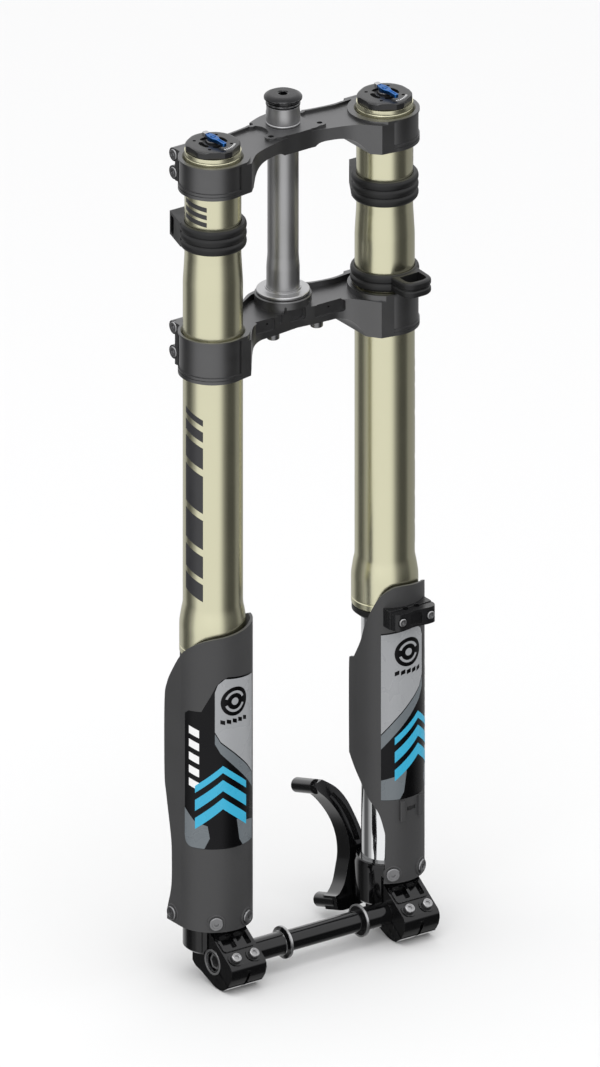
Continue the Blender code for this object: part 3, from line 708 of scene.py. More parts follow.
def flowing(points, steps=5):
    """A smooth line through points."""
    ends = [points[0]] + list(points) + [points[-1]]
    line = []
    for a, b, c, d in zip(ends, ends[1:], ends[2:], ends[3:]):
        for step in range(steps):
            t = step / steps
            line.append(tuple(
                0.5 * (2 * q + (r - p) * t + (2 * p - 5 * q + 4 * r - s) * t * t
                       + (3 * q - p - 3 * r + s) * t ** 3)
                for p, q, r, s in zip(a, b, c, d)
            ))
    return line + [points[-1]]


def arc(x, y, radius, start, end, count):
    angles = [math.radians(start + (end - start) * i / count) for i in range(count + 1)]
    return [(x + radius * math.cos(a), y + radius * math.sin(a)) for a in angles]


def mirrored(half):
    return half + [(-x, y) for x, y in reversed(half) if x > 0.01]


def rounded(low_x, low_y, high_x, high_y, radius):
    """A rectangle with round corners."""
    corners = (
        (high_x - radius, high_y - radius, 0), (low_x + radius, high_y - radius, 90),
        (low_x + radius, low_y + radius, 180), (high_x - radius, low_y + radius, 270),
    )
    return [p for x, y, turn in corners for p in arc(x, y, radius, turn, turn + 90, 5)]


def crown_plan(front, rear):
    """Half of a crown's plan, front edge to rear edge round the clamp, then mirrored."""
    ear = math.degrees(math.acos(EAR_OUT / CLAMP_R))
    start = [(x, LEG_Y + y) for x, y in flowing(front)]
    end = [(x, LEG_Y + y) for x, y in flowing(rear)]
    clamp = arc(LEG_X, LEG_Y, CLAMP_R, -106, ear, 44)
    back = LEG_Y + EAR_BOLT + LOBE_R + 1.5
    return mirrored(start + clamp + [(LEG_X + EAR_OUT, back), (LEG_X - EAR_IN, back)] + end)


def clamp_details(side, low, high, tube_r, bolt_heights):
    """What is cut into one clamp: bore, slit, waist, lip, ear lobes and bolt holes."""
    x = side * LEG_X
    at = on_leg(side)
    step = x - side * 10.5  # the waist starts here, on the side of the fork's middle
    reach = sorted((step, side * 150))
    tools = []
    for inner, bottom, top in ((CLAMP_WAIST, low + 6.2, high - 2), (31.2, low + 3.2, low + 4.0)):
        rings = [(inner, top), (40, top), (40, bottom), (inner, bottom)]
        waist = lathe("waist", rings, 128, True, at)
        outside = brick((reach[0], -90, -700), (reach[1], LEG_Y + 21, 300))
        tools.append(combine(waist, "INTERSECT", outside))
    bore_r = tube_r + 0.12
    bore = [(bore_r + 3.1, high + 1), (bore_r, high - 2.1), (bore_r, low - 5)]
    z_low, z_high = AXLE_Z + low, AXLE_Z + high
    slit = brick((x - 0.8, LEG_Y + 14, z_low - 7), (x + 0.8, LEG_Y + 62, z_high + 7))
    tools = [slit, lathe("bore", bore, 128, at=at)] + tools
    trim = brick((x - 25, LEG_Y + EAR_FACE, z_low - 5), (x + 25, LEG_Y + 60, z_high + 5))
    centres = [(x, LEG_Y + EAR_BOLT, AXLE_Z + h) for h in bolt_heights]
    for centre in centres:
        carve(trim, drum(LOBE_R, -40, 40, centre, (1, 0, 0)))
    tools.append(trim)
    for centre in centres:
        tools.append(drum(5.7, 15.8, 30, centre, (side, 0, 0), 48))
        tools.append(drum(3.1, -14, 20, centre, (side, 0, 0), 32))
    return tools


def arch_under(points, foot):
    """The hollow under a crown, as a tool: half an arch from the middle, mirrored."""
    half = [(0, points[0][1])] + flowing(points) + [(points[-1][0], foot)]
    return slab("arch", [(x, AXLE_Z + h) for x, h in mirrored(half)], -60, 100, FORWARD)


def web_recess(name, side, outline, low, high, boss):
    """The sunk floor between the middle and one clamp, as a tool."""
    shape = [(side * x, LEG_Y + y) for x, y in outline]
    tool = slab(name, shape, AXLE_Z + low, AXLE_Z + high)
    return carve(tool, drum(34.2, low - 5, high + 5, on_leg(side), steps=96), *boss)


TOP_BOLTS = (781.6, 763.8)
top_front = [(0, -2), (16, -2), (33, -6), (56, -14), (72.5, -29)]
top_rear = [(76, 35), (61, 33), (33, 37), (25, 42), (12, 47.5), (0, 50)]
top_crown = slab(
    "top_crown_billet", crown_plan(top_front, top_rear), AXLE_Z + TOP_LOW, AXLE_Z + TOP_HIGH
)
top_arch = [(17, 769.5), (22, 772.6), (30, 773.6), (42, 773.4), (52, 770.6), (60, 764), (66, 755)]
carve(top_crown, arch_under(top_arch, 740))
STEM_BOLTS = ((27, 5.5), (27, 38.8))  # threaded holes in the platform's lobes
platform_plan = [
    (11, -12), (13, -1), (18.5, -1.5), *arc(*STEM_BOLTS[0], 6.0, -120, 95, 9),
    (22.5, 16), (21, 22), (21.5, 28), *arc(*STEM_BOLTS[1], 6.0, -110, 60, 8), (26, 60), (11, 60),
]
top_floor = [
    (11, -30), (11, 38), (14, 44.4), (25, 39.4), (33, 34.4), (61, 30.4), (80, 32), (80, -30),
]
for side in SIDES.values():
    platform = slab("platform", [(side * x, LEG_Y + y) for x, y in platform_plan], 100, 200)
    carve(
        top_crown,
        web_recess("recess", side, top_floor, TOP_HIGH - 2.6, TOP_HIGH + 6, [platform]),
    )
    for x, y in STEM_BOLTS:
        at = (side * x, LEG_Y + y, AXLE_Z)
        carve(top_crown, drum(2.6, TOP_LOW, 800, at, steps=32))
    carve(top_crown, *clamp_details(side, TOP_LOW, TOP_HIGH, TUBE_UPPER_R, TOP_BOLTS))
carve(
    top_crown, drum(STEERER_R + GAP, TOP_LOW, 800, ORIGIN_AXIS, steps=96),
    drum(2.2, TOP_LOW, 800, (0, LEG_Y + 44.5, AXLE_Z), steps=24),
)
dress(top_crown, 0.55, "chassis", "crown_anodised", crown_metal, "top_crown")

# ------------------------------------------------------------------ lower crown
# The lower crown is deeper. The steerer is pressed into its round boss. Its front face
# has long shallow recesses, and two short studs under it take a mudguard.

LOW_LOW, LOW_HIGH = 573.7, 615.0
LOW_BOLTS = (609.4, 584.8)
BOSS_R = 26.3
STUD_X, STUD_Y = 24.2, LEG_Y + 6.3
low_front = [(0, 3), (18, 1), (32, -0.2), (44, -1), (56, -7), (72.5, -28)]
low_rear = [(76, 36), (61, 34), (38, 38), (22, 48), (0, 53)]
lower_crown = slab(
    "lower_crown_billet", crown_plan(low_front, low_rear), AXLE_Z + LOW_LOW, AXLE_Z + LOW_HIGH
)
low_arch = [(20, 591.5), (34, 591.5), (46, 590.8), (55, 587.4), (61, 580), (64.5, 571)]
carve(lower_crown, arch_under(low_arch, 560))
low_floor = [(14, -30), (14, 46.2), (22, 44.6), (38, 34.8), (61, 31), (80, 33), (80, -30)]
for side in SIDES.values():
    boss = drum(BOSS_R - 0.8, 500, 700, ORIGIN_AXIS, steps=96)
    carve(
        lower_crown, web_recess("recess", side, low_floor, LOW_HIGH - 5.5, LOW_HIGH + 9, [boss])
    )
    carve(lower_crown, *clamp_details(side, LOW_LOW, LOW_HIGH, TUBE_R, LOW_BOLTS))
    carve(lower_crown, drum(3.2, 580, 604, (side * STUD_X, STUD_Y, AXLE_Z), steps=24))
    pin = (side * 34, LEG_Y, AXLE_Z + 604.5)
    carve(lower_crown, drum(1.0, -12, 20, pin, (0, -1, 0), 20))
weld(lower_crown, lathe(
    "boss", [(BOSS_R, 612.2), (BOSS_R, 619.2), (BOSS_R - 0.8, 620)], at=ORIGIN_AXIS
))


def face_pocket(low_x, low_h, high_x, high_h, radius, back):
    """A pocket in the crown's front face, as deep as Y = back behind the legs' plane."""
    shape = rounded(low_x, AXLE_Z + low_h, high_x, AXLE_Z + high_h, radius)
    return slab("pocket", shape, -LEG_Y - back, 60, FORWARD)


carve(
    lower_crown,
    face_pocket(18.5, 597.5, 50, 609.5, 2.5, 1.6), face_pocket(-50, 597.5, -26, 609.5, 2.5, 1.6),
    face_pocket(-22.5, 601, -17.5, 611, 2.4, 2.6), face_pocket(-8.5, 598.5, 9.5, 611.5, 3.2, 4.0),
    face_pocket(-4.5, 600.5, 7.5, 609.5, 2.2, 6.0),
    drum(FOOT_R + GAP, LOW_LOW, 640, ORIGIN_AXIS, steps=96),
)
dress(lower_crown, 0.55, "chassis", "crown_anodised", crown_metal, "lower_crown")

dark_plated = machined("dark plated steel", (0.17, 0.17, 0.175), (0.24, 0.24, 0.245), 0.24, 0.34)
for name, side in SIDES.items():
    stud = lathe(
        f"{name}_mudguard_stud",
        [(3, 602), (3, 591.2), (5.9, 591.2), (5.9, 586.6), (5.3, 586), (2.6, 586), (2.6, 589)],
        48, at=(side * STUD_X, STUD_Y, AXLE_Z),
    )
    node_name = f"{name}_fender_standoff"
    dress(stud, 0.2, "chassis", "bolt_steel", dark_plated, node_name)

# ------------------------------------------------------------------ clamp bolts
# Eight plated socket bolts draw the clamps' slits together. Their heads sit in counter-
# bores in the round lobes of the ears, and have a hexagonal socket and a broken rim.

bolt_plate = machined("plated bolts", (0.26, 0.26, 0.265), (0.34, 0.34, 0.345), 0.26, 0.36, 3.0)


def bolt(name, head_r, head, shank_r, length, socket, dish=0.0):
    """A bolt whose head stands on the origin and whose shank runs down from it."""
    made = lathe(
        name,
        [
            (head_r - 0.9, head), (head_r - 0.2, head - 0.45), (head_r, head - 1.1),
            (head_r, 0), (shank_r, 0), (shank_r, -length),
        ],
        48,
    )
    carve(made, drum(socket, head - 1.9, head + 5, steps=6))
    if dish:
        carve(made, drum(head_r * 0.62, head - dish, head + 5, steps=48))
    return smooth(soften(made, 0.18))


def screw_in(pattern, name, at, along, body, material=None):
    """Puts a copy of a bolt in its hole. It stands for the CAD bolt of the same name."""
    made = copy_of(pattern, name + "_socket", place_at(at, along))
    return fit(made, body, "bolt_steel", material or bolt_plate, name)


clamp_bolt = bolt("clamp_bolt", head_r=5.3, head=3.6, shank_r=3.0, length=27, socket=2.6)
for name, side in SIDES.items():
    for crown, heights in (("top_clamp", TOP_BOLTS), ("lower_clamp", LOW_BOLTS)):
        for level, h in zip(("upper", "lower"), heights):
            seat = on_leg(side, h) + Vector((side * 15.9, EAR_BOLT, 0))
            screw_in(clamp_bolt, f"{name}_{crown}_bolt_{level}", seat, (side, 0, 0), "chassis")
bpy.data.objects.remove(clamp_bolt)

# ------------------------------------------------------------------ outer tubes
# The two outer tubes are drawn alloy, thin where the crowns clamp them and flared at
# the foot for the bushing. They are polished and anodised a pale gold, with plain dark
# bars printed on the outer side.

gold_anodised = machined(
    "pale gold anodised", (0.68, 0.66, 0.475), (0.70, 0.68, 0.49), 0.23, 0.26, lines=3.0,
    bite=0.004, wear_and_glint=0.0,
)
dark_print = moulded(
    "dark grey print", (0.018, 0.018, 0.020), (0.026, 0.026, 0.028), 0.30, 0.42, pebble=0.3,
    bite=0.08, depth=0.01, wear_and_glint=0.0,
)
TUBE_RINGS = (
    (26.0, 795.3), (26.0, 791.6), (25.75, 791.3), (25.75, 790.7), (26.0, 790.4), (26.0, 692),
    (26.15, 688), (27.35, 667), (27.5, 663), (27.5, 347), (27.75, 343.5), (28.8, 338.5),
    (30.0, 331), (30.6, 326.5), (30.75, 322), (30.75, 304.6), (30.3, 304.2), (30.3, 303.0),
    (30.75, 302.6), (30.75, 297.5), (29.6, 296), (23.6, 296), (23.6, 795.3),
)
for name, side in SIDES.items():
    tube = lathe(f"{name}_gold_tube", list(TUBE_RINGS), 128, True, on_leg(side))
    dress(tube, 0.35, "chassis", "gold_tube", gold_anodised, f"{name}_outer_tube")

FRONT = math.radians(-90)


def flat_print(name, shapes, cell=2.0):
    """Flat printed shapes as one thin sheet, cut into narrow strips so that it can be
    wrapped. X is the way round the leg and Z the height above the axle."""
    sheet = joined(name, [slab(name, shape, 0, PRINT_THICK, FORWARD) for shape in shapes])
    only(sheet)
    to_edit()
    across = [p for shape in shapes for p, _ in shape]
    line = math.floor(min(across) / cell + 1) * cell
    while line < max(across):
        bpy.ops.mesh.select_all(action="SELECT")
        bpy.ops.mesh.bisect(plane_co=(line * MM, 0, 0), plane_no=(1, 0, 0))
        line += cell
    to_object()
    return sheet


def wrap(sheet, side, radius, centre=FRONT):
    """Lays a flat sheet round a leg. Its X runs outwards from a direction on the leg, in
    millimetres of arc, and its thickness outwards from the radius."""
    for point in sheet.data.vertices:
        turn = centre + point.co.x / (radius * MM)
        out = radius * MM - point.co.y
        point.co = (
            side * (LEG_X * MM + out * math.cos(turn)), LEG_Y * MM + out * math.sin(turn),
            point.co.z + AXLE_Z * MM,
        )
    close_up(sheet)
    return smooth(sheet)


def slanted(left, right, low, high, lean):
    """A bar across a print whose ends lean."""
    return [(left, low), (right, low + lean), (right, high + lean), (left, high)]


OUTWARDS = math.radians(-14)
BAR_HEIGHTS = ((355, 372), (378, 400), (407, 436), (443, 480), (487, 508), (514, 524), (530, 536))
bars = [slanted(-10.5, 10.5, low, high, 9) for low, high in BAR_HEIGHTS]
crest = [slanted(-13, 13, 728 + 7.5 * index, 732.5 + 7.5 * index, 4) for index in range(3)]
for name, side in SIDES.items():
    for label, shapes, radius in (("bars", bars, TUBE_R), ("chevrons", crest, TUBE_UPPER_R)):
        sheet = flat_print(f"{name}_tube_{label}", shapes)
        fit(wrap(sheet, side, radius + 0.03, OUTWARDS), "chassis", "gold_tube", dark_print)

# ------------------------------------------------------------------ top caps
# A black cap screws into each outer tube: a disc with six flats, four pin holes, four
# curved pockets and a ring of printed marks. A blue lever turns on a black hub in its
# middle, with a bright tip and a small centre screw.

# The pale edge colour here is partly wearing and partly a painted highlight along the edges.
satin_black = moulded(
    "satin black anodised", (0.030, 0.030, 0.031), (0.045, 0.045, 0.046), 0.26, 0.34,
    pebble=0.35, bite=0.10, depth=0.02, worn_and_glint=(0.22, 0.22, 0.225), wear_and_glint=0.7, metallic=0.7,
)
blue_anodised = machined(
    "bright blue anodised", (0.015, 0.085, 0.27), (0.022, 0.12, 0.35), 0.22, 0.30, lines=4.0,
    bite=0.04, wear_and_glint=0.5,
)
CAP_TOP, CAP_SEAT, CAP_R, FLATS = 802.2, 795.6, 25.2, 47.4


def curved_pocket(at, middle, inner, outer, half, low, high):
    """A kidney-shaped tool with round ends, on a circle round a point."""
    a, b = middle - half, middle + half
    centre_r, end_r = (inner + outer) / 2, (outer - inner) / 2
    line = arc(0, 0, outer, a, b, 8)
    for angle, start in ((b, b), (a, a + 180)):
        x = centre_r * math.cos(math.radians(angle))
        y = centre_r * math.sin(math.radians(angle))
        line += arc(x, y, end_r, start, start + 180, 6)[1:]
        if angle == b:
            line += arc(0, 0, inner, b, a, 8)[1:]
    return slab("kidney", line[:-1], low, high, place_at(at))


for name, side in SIDES.items():
    at = on_leg(side)
    disc = lathe(
        f"{name}_cap_disc",
        [
            (21.2, CAP_TOP), (24.2, CAP_TOP - 0.5), (CAP_R, CAP_TOP - 1.5), (CAP_R, CAP_SEAT),
            (22.8, CAP_SEAT), (22.8, CAP_SEAT - 19.5),
        ],
        128, at=at,
    )
    hexagon = drum(FLATS / math.sqrt(3), CAP_SEAT - 30, CAP_TOP + 5, at, steps=6)
    combine(disc, "INTERSECT", hexagon)
    carve(disc, drum(7.0, CAP_TOP - 2.2, CAP_TOP + 5, at), drum(4.4, CAP_SEAT - 30, 820, at))
    for quarter in range(4):
        carve(
            disc,
            curved_pocket(
                at, 90 * quarter, inner=9.0, outer=13.6, half=24, low=CAP_TOP - 2.6,
                high=CAP_TOP + 3,
            ),
        )
        turn = math.radians(45 + 90 * quarter)
        pin = at + Vector((17.2 * math.cos(turn), 17.2 * math.sin(turn), 0))
        carve(disc, drum(1.6, CAP_TOP - 4, CAP_TOP + 3, pin, steps=24))
    dress(disc, 0.25, "chassis", "gloss_black", satin_black, f"{name}_top_cap")
    marks = ring_of_marks(f"{name}_cap_marks", 8, 20.2, CAP_TOP - 0.03, (1.8, 0.9), at, -92, 52)
    fit(marks, "chassis", "gloss_black", white_print)
    body = f"{name}_adjuster_knob"
    hub = lathe(
        f"{name}_adjuster_hub",
        [(5.6, 804.3), (6.0, 803.9), (6.0, 800.8), (4.0, 800.8), (4.0, 778.5)], 48, at=at,
    )
    dress(hub, 0.2, body, "gloss_black", satin_black)
    half = flowing([(0, -19.6), (1.7, -19.2), (2.2, -17), (2.0, -9), (3.6, -4), (3.9, 0)], 4)
    half += flowing([(3.9, 0), (3.6, 4), (2.2, 8.5), (2.1, 12.6), (0, 13.6)], 4)[1:]
    lever = slab(f"{name}_adjuster_lever", mirrored(half), 804.4, 808.0, place_at(at))
    carve(lever, drum(2.6, 807.0, 812, at, steps=32))
    for low, high in ((-17.5, -8), (6.5, 11.5)):
        carve(lever, slab("relief", rounded(-0.9, low, 0.9, high, 0.85), 807.2, 812, place_at(at)))
    dress(lever, 0.45, body, "blue_anodised", blue_anodised, f"{name}_adjuster", segments=3)
    tip = slab(f"{name}_lever_tip", rounded(-2.7, 8.8, 2.7, 14.0, 1.6), 804.2, 808.4, place_at(at))
    dress(tip, 0.5, body, "satin_silver", satin_alloy, segments=3)
    centre = lathe(f"{name}_lever_screw", [(1.9, 808.5), (2.3, 808.1), (2.3, 805)], 32, at=at)
    carve(centre, brick((-2, -0.3, 808.0), (2, 0.3, 810), place_at(at)))
    dress(centre, 0.12, body, "blue_anodised", blue_anodised)

# ------------------------------------------------------------------ rubber bands
# A moulded rubber band with three round ribs sits on each outer tube. Behind it a
# square loop takes a strap. The left tube also has a guide with a loop for the hose.

rubber = moulded(
    "black rubber", (0.007, 0.007, 0.0075), (0.012, 0.012, 0.0125), 0.40, 0.50, pebble=0.5,
    bite=0.16, depth=0.03, wear_and_glint=0.10, worn_and_glint=(0.03, 0.03, 0.03), metallic=0.4,
)
BAND_LOW, BAND_HIGH = 701.0, 725.0


def ribbed_ring(name, low, high, inner, outer, ribs, at, dip=1.6):
    """A rubber ring whose outside is a row of round ribs."""
    rings = [(inner, low)]
    pitch = (high - low) / ribs
    for rib in range(ribs):
        for step in range(7 if rib == ribs - 1 else 6):
            t = step / 6
            swell = dip * math.sin(math.pi * t) ** 0.6
            rings.append((outer - dip + swell, low + pitch * (rib + t)))
    rings.append((inner, high))
    return lathe(name, rings, 112, True, at)


def from_leg(points, side=1):
    """An outline given from a leg's axis."""
    return [(side * (LEG_X + a), LEG_Y + b) for a, b in points]


LOOP_PLAN = ((20, 40), (28.6, 11), (24, -4), (-24, 2), (-27, 14), (-11.6, 40))
for name, side in SIDES.items():
    at = on_leg(side)
    band = ribbed_ring(f"{name}_ribbed_band", BAND_LOW, BAND_HIGH, 26.4, 31.0, 3, at)
    z_low, z_high = AXLE_Z + BAND_LOW, AXLE_Z + BAND_HIGH
    loop = slab("loop", from_leg(LOOP_PLAN, side), z_low + 0.4, z_high - 0.4)
    carve(loop, drum(27.2, 690, 735, at, steps=96))
    x = side * LEG_X
    strap_way = rounded(LEG_Y + 29.0, z_low + 3.2, LEG_Y + 37, z_high - 3.2, 2)
    carve(weld(band, loop), slab("tunnel", strap_way, x - 45, x + 45, SIDEWAYS))
    dress(band, 0.7, "chassis", "black_rubber", rubber, f"{name}_tube_band", segments=3)

guide = ribbed_ring("hose_guide_ring", 617, 633, 27.9, 31.6, 2, on_leg(1), 1.8)
outer = flowing([
    (-13, -22), (-12.5, -36), (-11.5, -47), (-6, -53), (3, -54), (12, -53), (18.5, -47),
    (20, -34), (21, -18),
], 4)
inner = flowing([
    (-7, -34), (-7, -44), (-4.5, -48.5), (3, -49.5), (10.5, -48.8), (14, -45), (14.5, -33),
], 4)
loops = []
for low, high in ((617.6, 624.6), (625.4, 632.4)):
    ring = slab("guide_loop", from_leg(outer), AXLE_Z + low, AXLE_Z + high)
    loops.append(soften(ring, 2.2, 4, 60))
neck_plan = from_leg([(a * 0.94, b * 0.97) for a, b in outer])
weld(guide, *loops, slab("neck", neck_plan, AXLE_Z + 622, AXLE_Z + 628))
hose_way = slab("hose_way", from_leg(inner), AXLE_Z + 600, AXLE_Z + 650)
carve(guide, hose_way, drum(27.85, 600, 650, on_leg(1), steps=112))
dress(guide, 0.4, "chassis", "black_rubber", rubber, "hose_guide")

# ------------------------------------------------------------------ wiper seals
# A rubber seal is pressed into the foot of each outer tube. Its thin lip wipes the
# stanchion clean.

for name, side in SIDES.items():
    seal = lathe(
        f"{name}_wiper_lip",
        [
            (30.0, 295.7), (30.2, 294.8), (30.2, 290.6), (29.3, 289.8), (27.6, 289.4),
            (26.8, 287.6), (25.0, 286.6), (22.4, 286.2), (21.6, 286.8), (21.6, 295.7),
        ],
        112, True, on_leg(side),
    )
    dress(seal, 0.25, "chassis", "black_rubber", rubber, f"{name}_wiper_seal")

# ------------------------------------------------------------------ inner parts
# Inside the legs are the bushings, the right leg's damper, and the tube and seat that
# hold the left leg's spring. They keep their plain turned shapes, and take the finish
# of the real ones.

bronze = machined("coated bronze", (0.30, 0.19, 0.085), (0.40, 0.27, 0.13), 0.38, 0.50)
INNER_FINISH = {
    "damper_cartridge": satin_alloy, "damper_rod": satin_alloy, "damper_piston": bronze,
    "spring_preload_tube": satin_alloy, "spring_seat": black_anodised,
    "left_upper_bushing": bronze, "left_lower_bushing": bronze,
    "right_upper_bushing": bronze, "right_lower_bushing": bronze,
}
for name, material in INNER_FINISH.items():
    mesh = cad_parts[name].data
    mesh.materials.clear()
    mesh.materials.append(material)

# ------------------------------------------------------------------ coil spring
# The left leg's spring is wound from round steel wire and powder coated. It fills the
# room between its seat and the preload tube.

painted_spring = moulded(
    "powder coated spring steel", (0.42, 0.43, 0.45), (0.52, 0.53, 0.55), 0.34, 0.44,
    pebble=0.5, bite=0.2, wear_and_glint=0.0,
)
SEAT_TOP, PRELOAD_FOOT = 100.3, 431.7
WIRE_R, COIL_R, TURNS = 2.4, 15.5, 15
bpy.ops.object.select_all(action="DESELECT")
bpy.ops.mesh.primitive_circle_add(
    vertices=16, radius=WIRE_R * MM, location=(COIL_R * MM, 0, 0), rotation=(math.pi / 2, 0, 0)
)
spring = bpy.context.object
spring.name = "leg_spring"
settle(spring, Matrix())
coil = spring.modifiers.new("Coil", "SCREW")
coil.angle = 2 * math.pi
coil.steps = coil.render_steps = 32
coil.iterations = TURNS
coil.screw_offset = (PRELOAD_FOOT - SEAT_TOP - 2 * WIRE_R) / TURNS * MM
only(spring)
bpy.ops.object.modifier_apply(modifier=coil.name)
to_edit()
bpy.ops.mesh.select_all(action="SELECT")
bpy.ops.mesh.fill_holes(sides=0)
to_object()
settle(spring, place_at(on_leg(1, SEAT_TOP + WIRE_R)))
close_up(spring)
fit(smooth(spring, 50), "chassis", "spring_steel", painted_spring, "coil_spring")
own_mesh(spring)

# ------------------------------------------------------------------ stanchions
# The stanchions are steel tubes, ground and hard chromed to a mirror. They stand in the
# lugs' sockets and slide up into the outer tubes.

chrome = machined(
    "hard chrome", (0.78, 0.79, 0.80), (0.84, 0.85, 0.86), 0.05, 0.09, lines=5.0, bite=0.015,
    wear_and_glint=0.0,
)
for name, side in SIDES.items():
    low, high = (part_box(f"{name}_stanchion")[i].z / MM - AXLE_Z for i in (0, 1))
    tube = lathe(
        f"{name}_chrome_tube", [(21.5, high), (21.5, low), (19.6, low), (19.6, high)], 128, True,
        on_leg(side),
    )
    dress(tube, 0.8, "lower_assembly", "stanchion_chrome", chrome, f"{name}_stanchion")

# ------------------------------------------------------------------ axle lugs
# A forged and machined lug at each leg's foot holds the stanchion in a deep socket and
# clamps the axle with two bolts in its sloping front face. The left one also carries
# the brake caliper, on a crescent arm with two posts. Both are gloss black.

# The pale edge colour of this gloss black is a painted highlight, for the sharp reflections along
# its edges.
gloss_black = moulded(
    "gloss black anodised", (0.004, 0.004, 0.0045), (0.007, 0.007, 0.008), 0.08, 0.14,
    pebble=0.5, bite=0.03, depth=0.01, worn_and_glint=(0.24, 0.24, 0.245), wear_and_glint=0.9, metallic=0.6,
    coat=0.4, size=35,
)
LUG_INNER, LUG_OUTER = 77.0, 115.5
LUG_MID = (LUG_INNER + LUG_OUTER) / 2
SOCKET_R, SOCKET_FOOT, STANCHION_FOOT = 27.6, 3.0, 12.0
AXLE_R = 10.0
SLOPE = math.radians(34.4)
MOUNT_LEAN = math.radians(16.8)
POSTS = ((-38, 107.0), (-35, -1.0))  # behind the caliper arm, and along it
AXLE = Vector((0, AXLE_Y, AXLE_Z))
TO_RIGHT = (-1, 0, 0)
PINCH_OUT, PINCH_UP = 9.85, 8  # a pinch bolt's place on the sloping face
LUG_SIDE = (
    (-30.4, 1.5), (-28.4, 4.8), (2.4, 25.8), (7.5, 34), (11, 41), (28, 41), (32, 20), (32, -9),
    (27, -13), (18, -15.2), (8, -19.2), (-2, -23), (-9, -24.1), (-16, -23.2), (-24, -18),
    (-29, -10), (-31, -3),
)


def slope_place(side):
    """A place on the lug's sloping face: Y runs up the slope from the nose, Z out of it."""
    nose = Vector((side * LUG_MID, AXLE_Y - 29.5, AXLE_Z + 4))
    return Matrix.Translation(nose * MM) @ Matrix.Rotation(SLOPE, 4, "X")


def pinch_place(face, row, lift=0.0):
    """Where a pinch bolt goes in, and which way it points out."""
    return face @ Vector((row * PINCH_OUT * MM, PINCH_UP * MM, lift * MM)) / MM, face.col[2][:3]


def caliper_arm(lug):
    """The crescent behind the left lug, leaning back, with a long pocket and two posts."""
    turn = Matrix.Rotation(math.radians(90) - MOUNT_LEAN, 4, "X")
    place = Matrix.Translation(Vector((LEG_X, LEG_Y + 18, AXLE_Z)) * MM) @ turn
    inner_side = flowing([
        (-44, 110), (-40, 103), (-32, 94), (-24, 81), (-19, 68), (-17, 54), (-18.5, 40),
        (-23, 28), (-29, 15), (-36, 7), (-41, 5),
    ], 4)
    outer_side = flowing([
        (-41, -8), (-34, -9.5), (-20, -8.5), (-6, -5), (2, 6), (4, 24), (2, 44), (-2, 60),
        (-6, 74), (-12, 90), (-21, 103), (-34, 113),
    ], 4)
    arm = slab("arm", inner_side + outer_side, -20.5, 0, place)
    pocket = flowing([(-11, 50), (-13.5, 66), (-20, 82), (-29, 96)], 4)
    pocket += flowing([(-24.5, 99), (-15, 86), (-8, 68), (-4.5, 50)], 4)
    long_pocket = slab("pocket", pocket, -5.0, 8, place)
    low_pocket = slab("pocket", rounded(-22, -1, -8, 12, 4), -2.6, 8, place)
    carve(arm, long_pocket, low_pocket)
    weld(lug, arm)
    back = place.to_3x3() @ Vector((0, 0, -1))
    for x, along in POSTS:
        at = place @ (Vector((x, along, 0)) * MM) / MM
        weld(lug, lathe("post", [(7, 6), (7, 37), (6.2, 38)], 64, at=at, along=back))
        carve(lug, drum(2.6, 18, 45, at, back, 32))


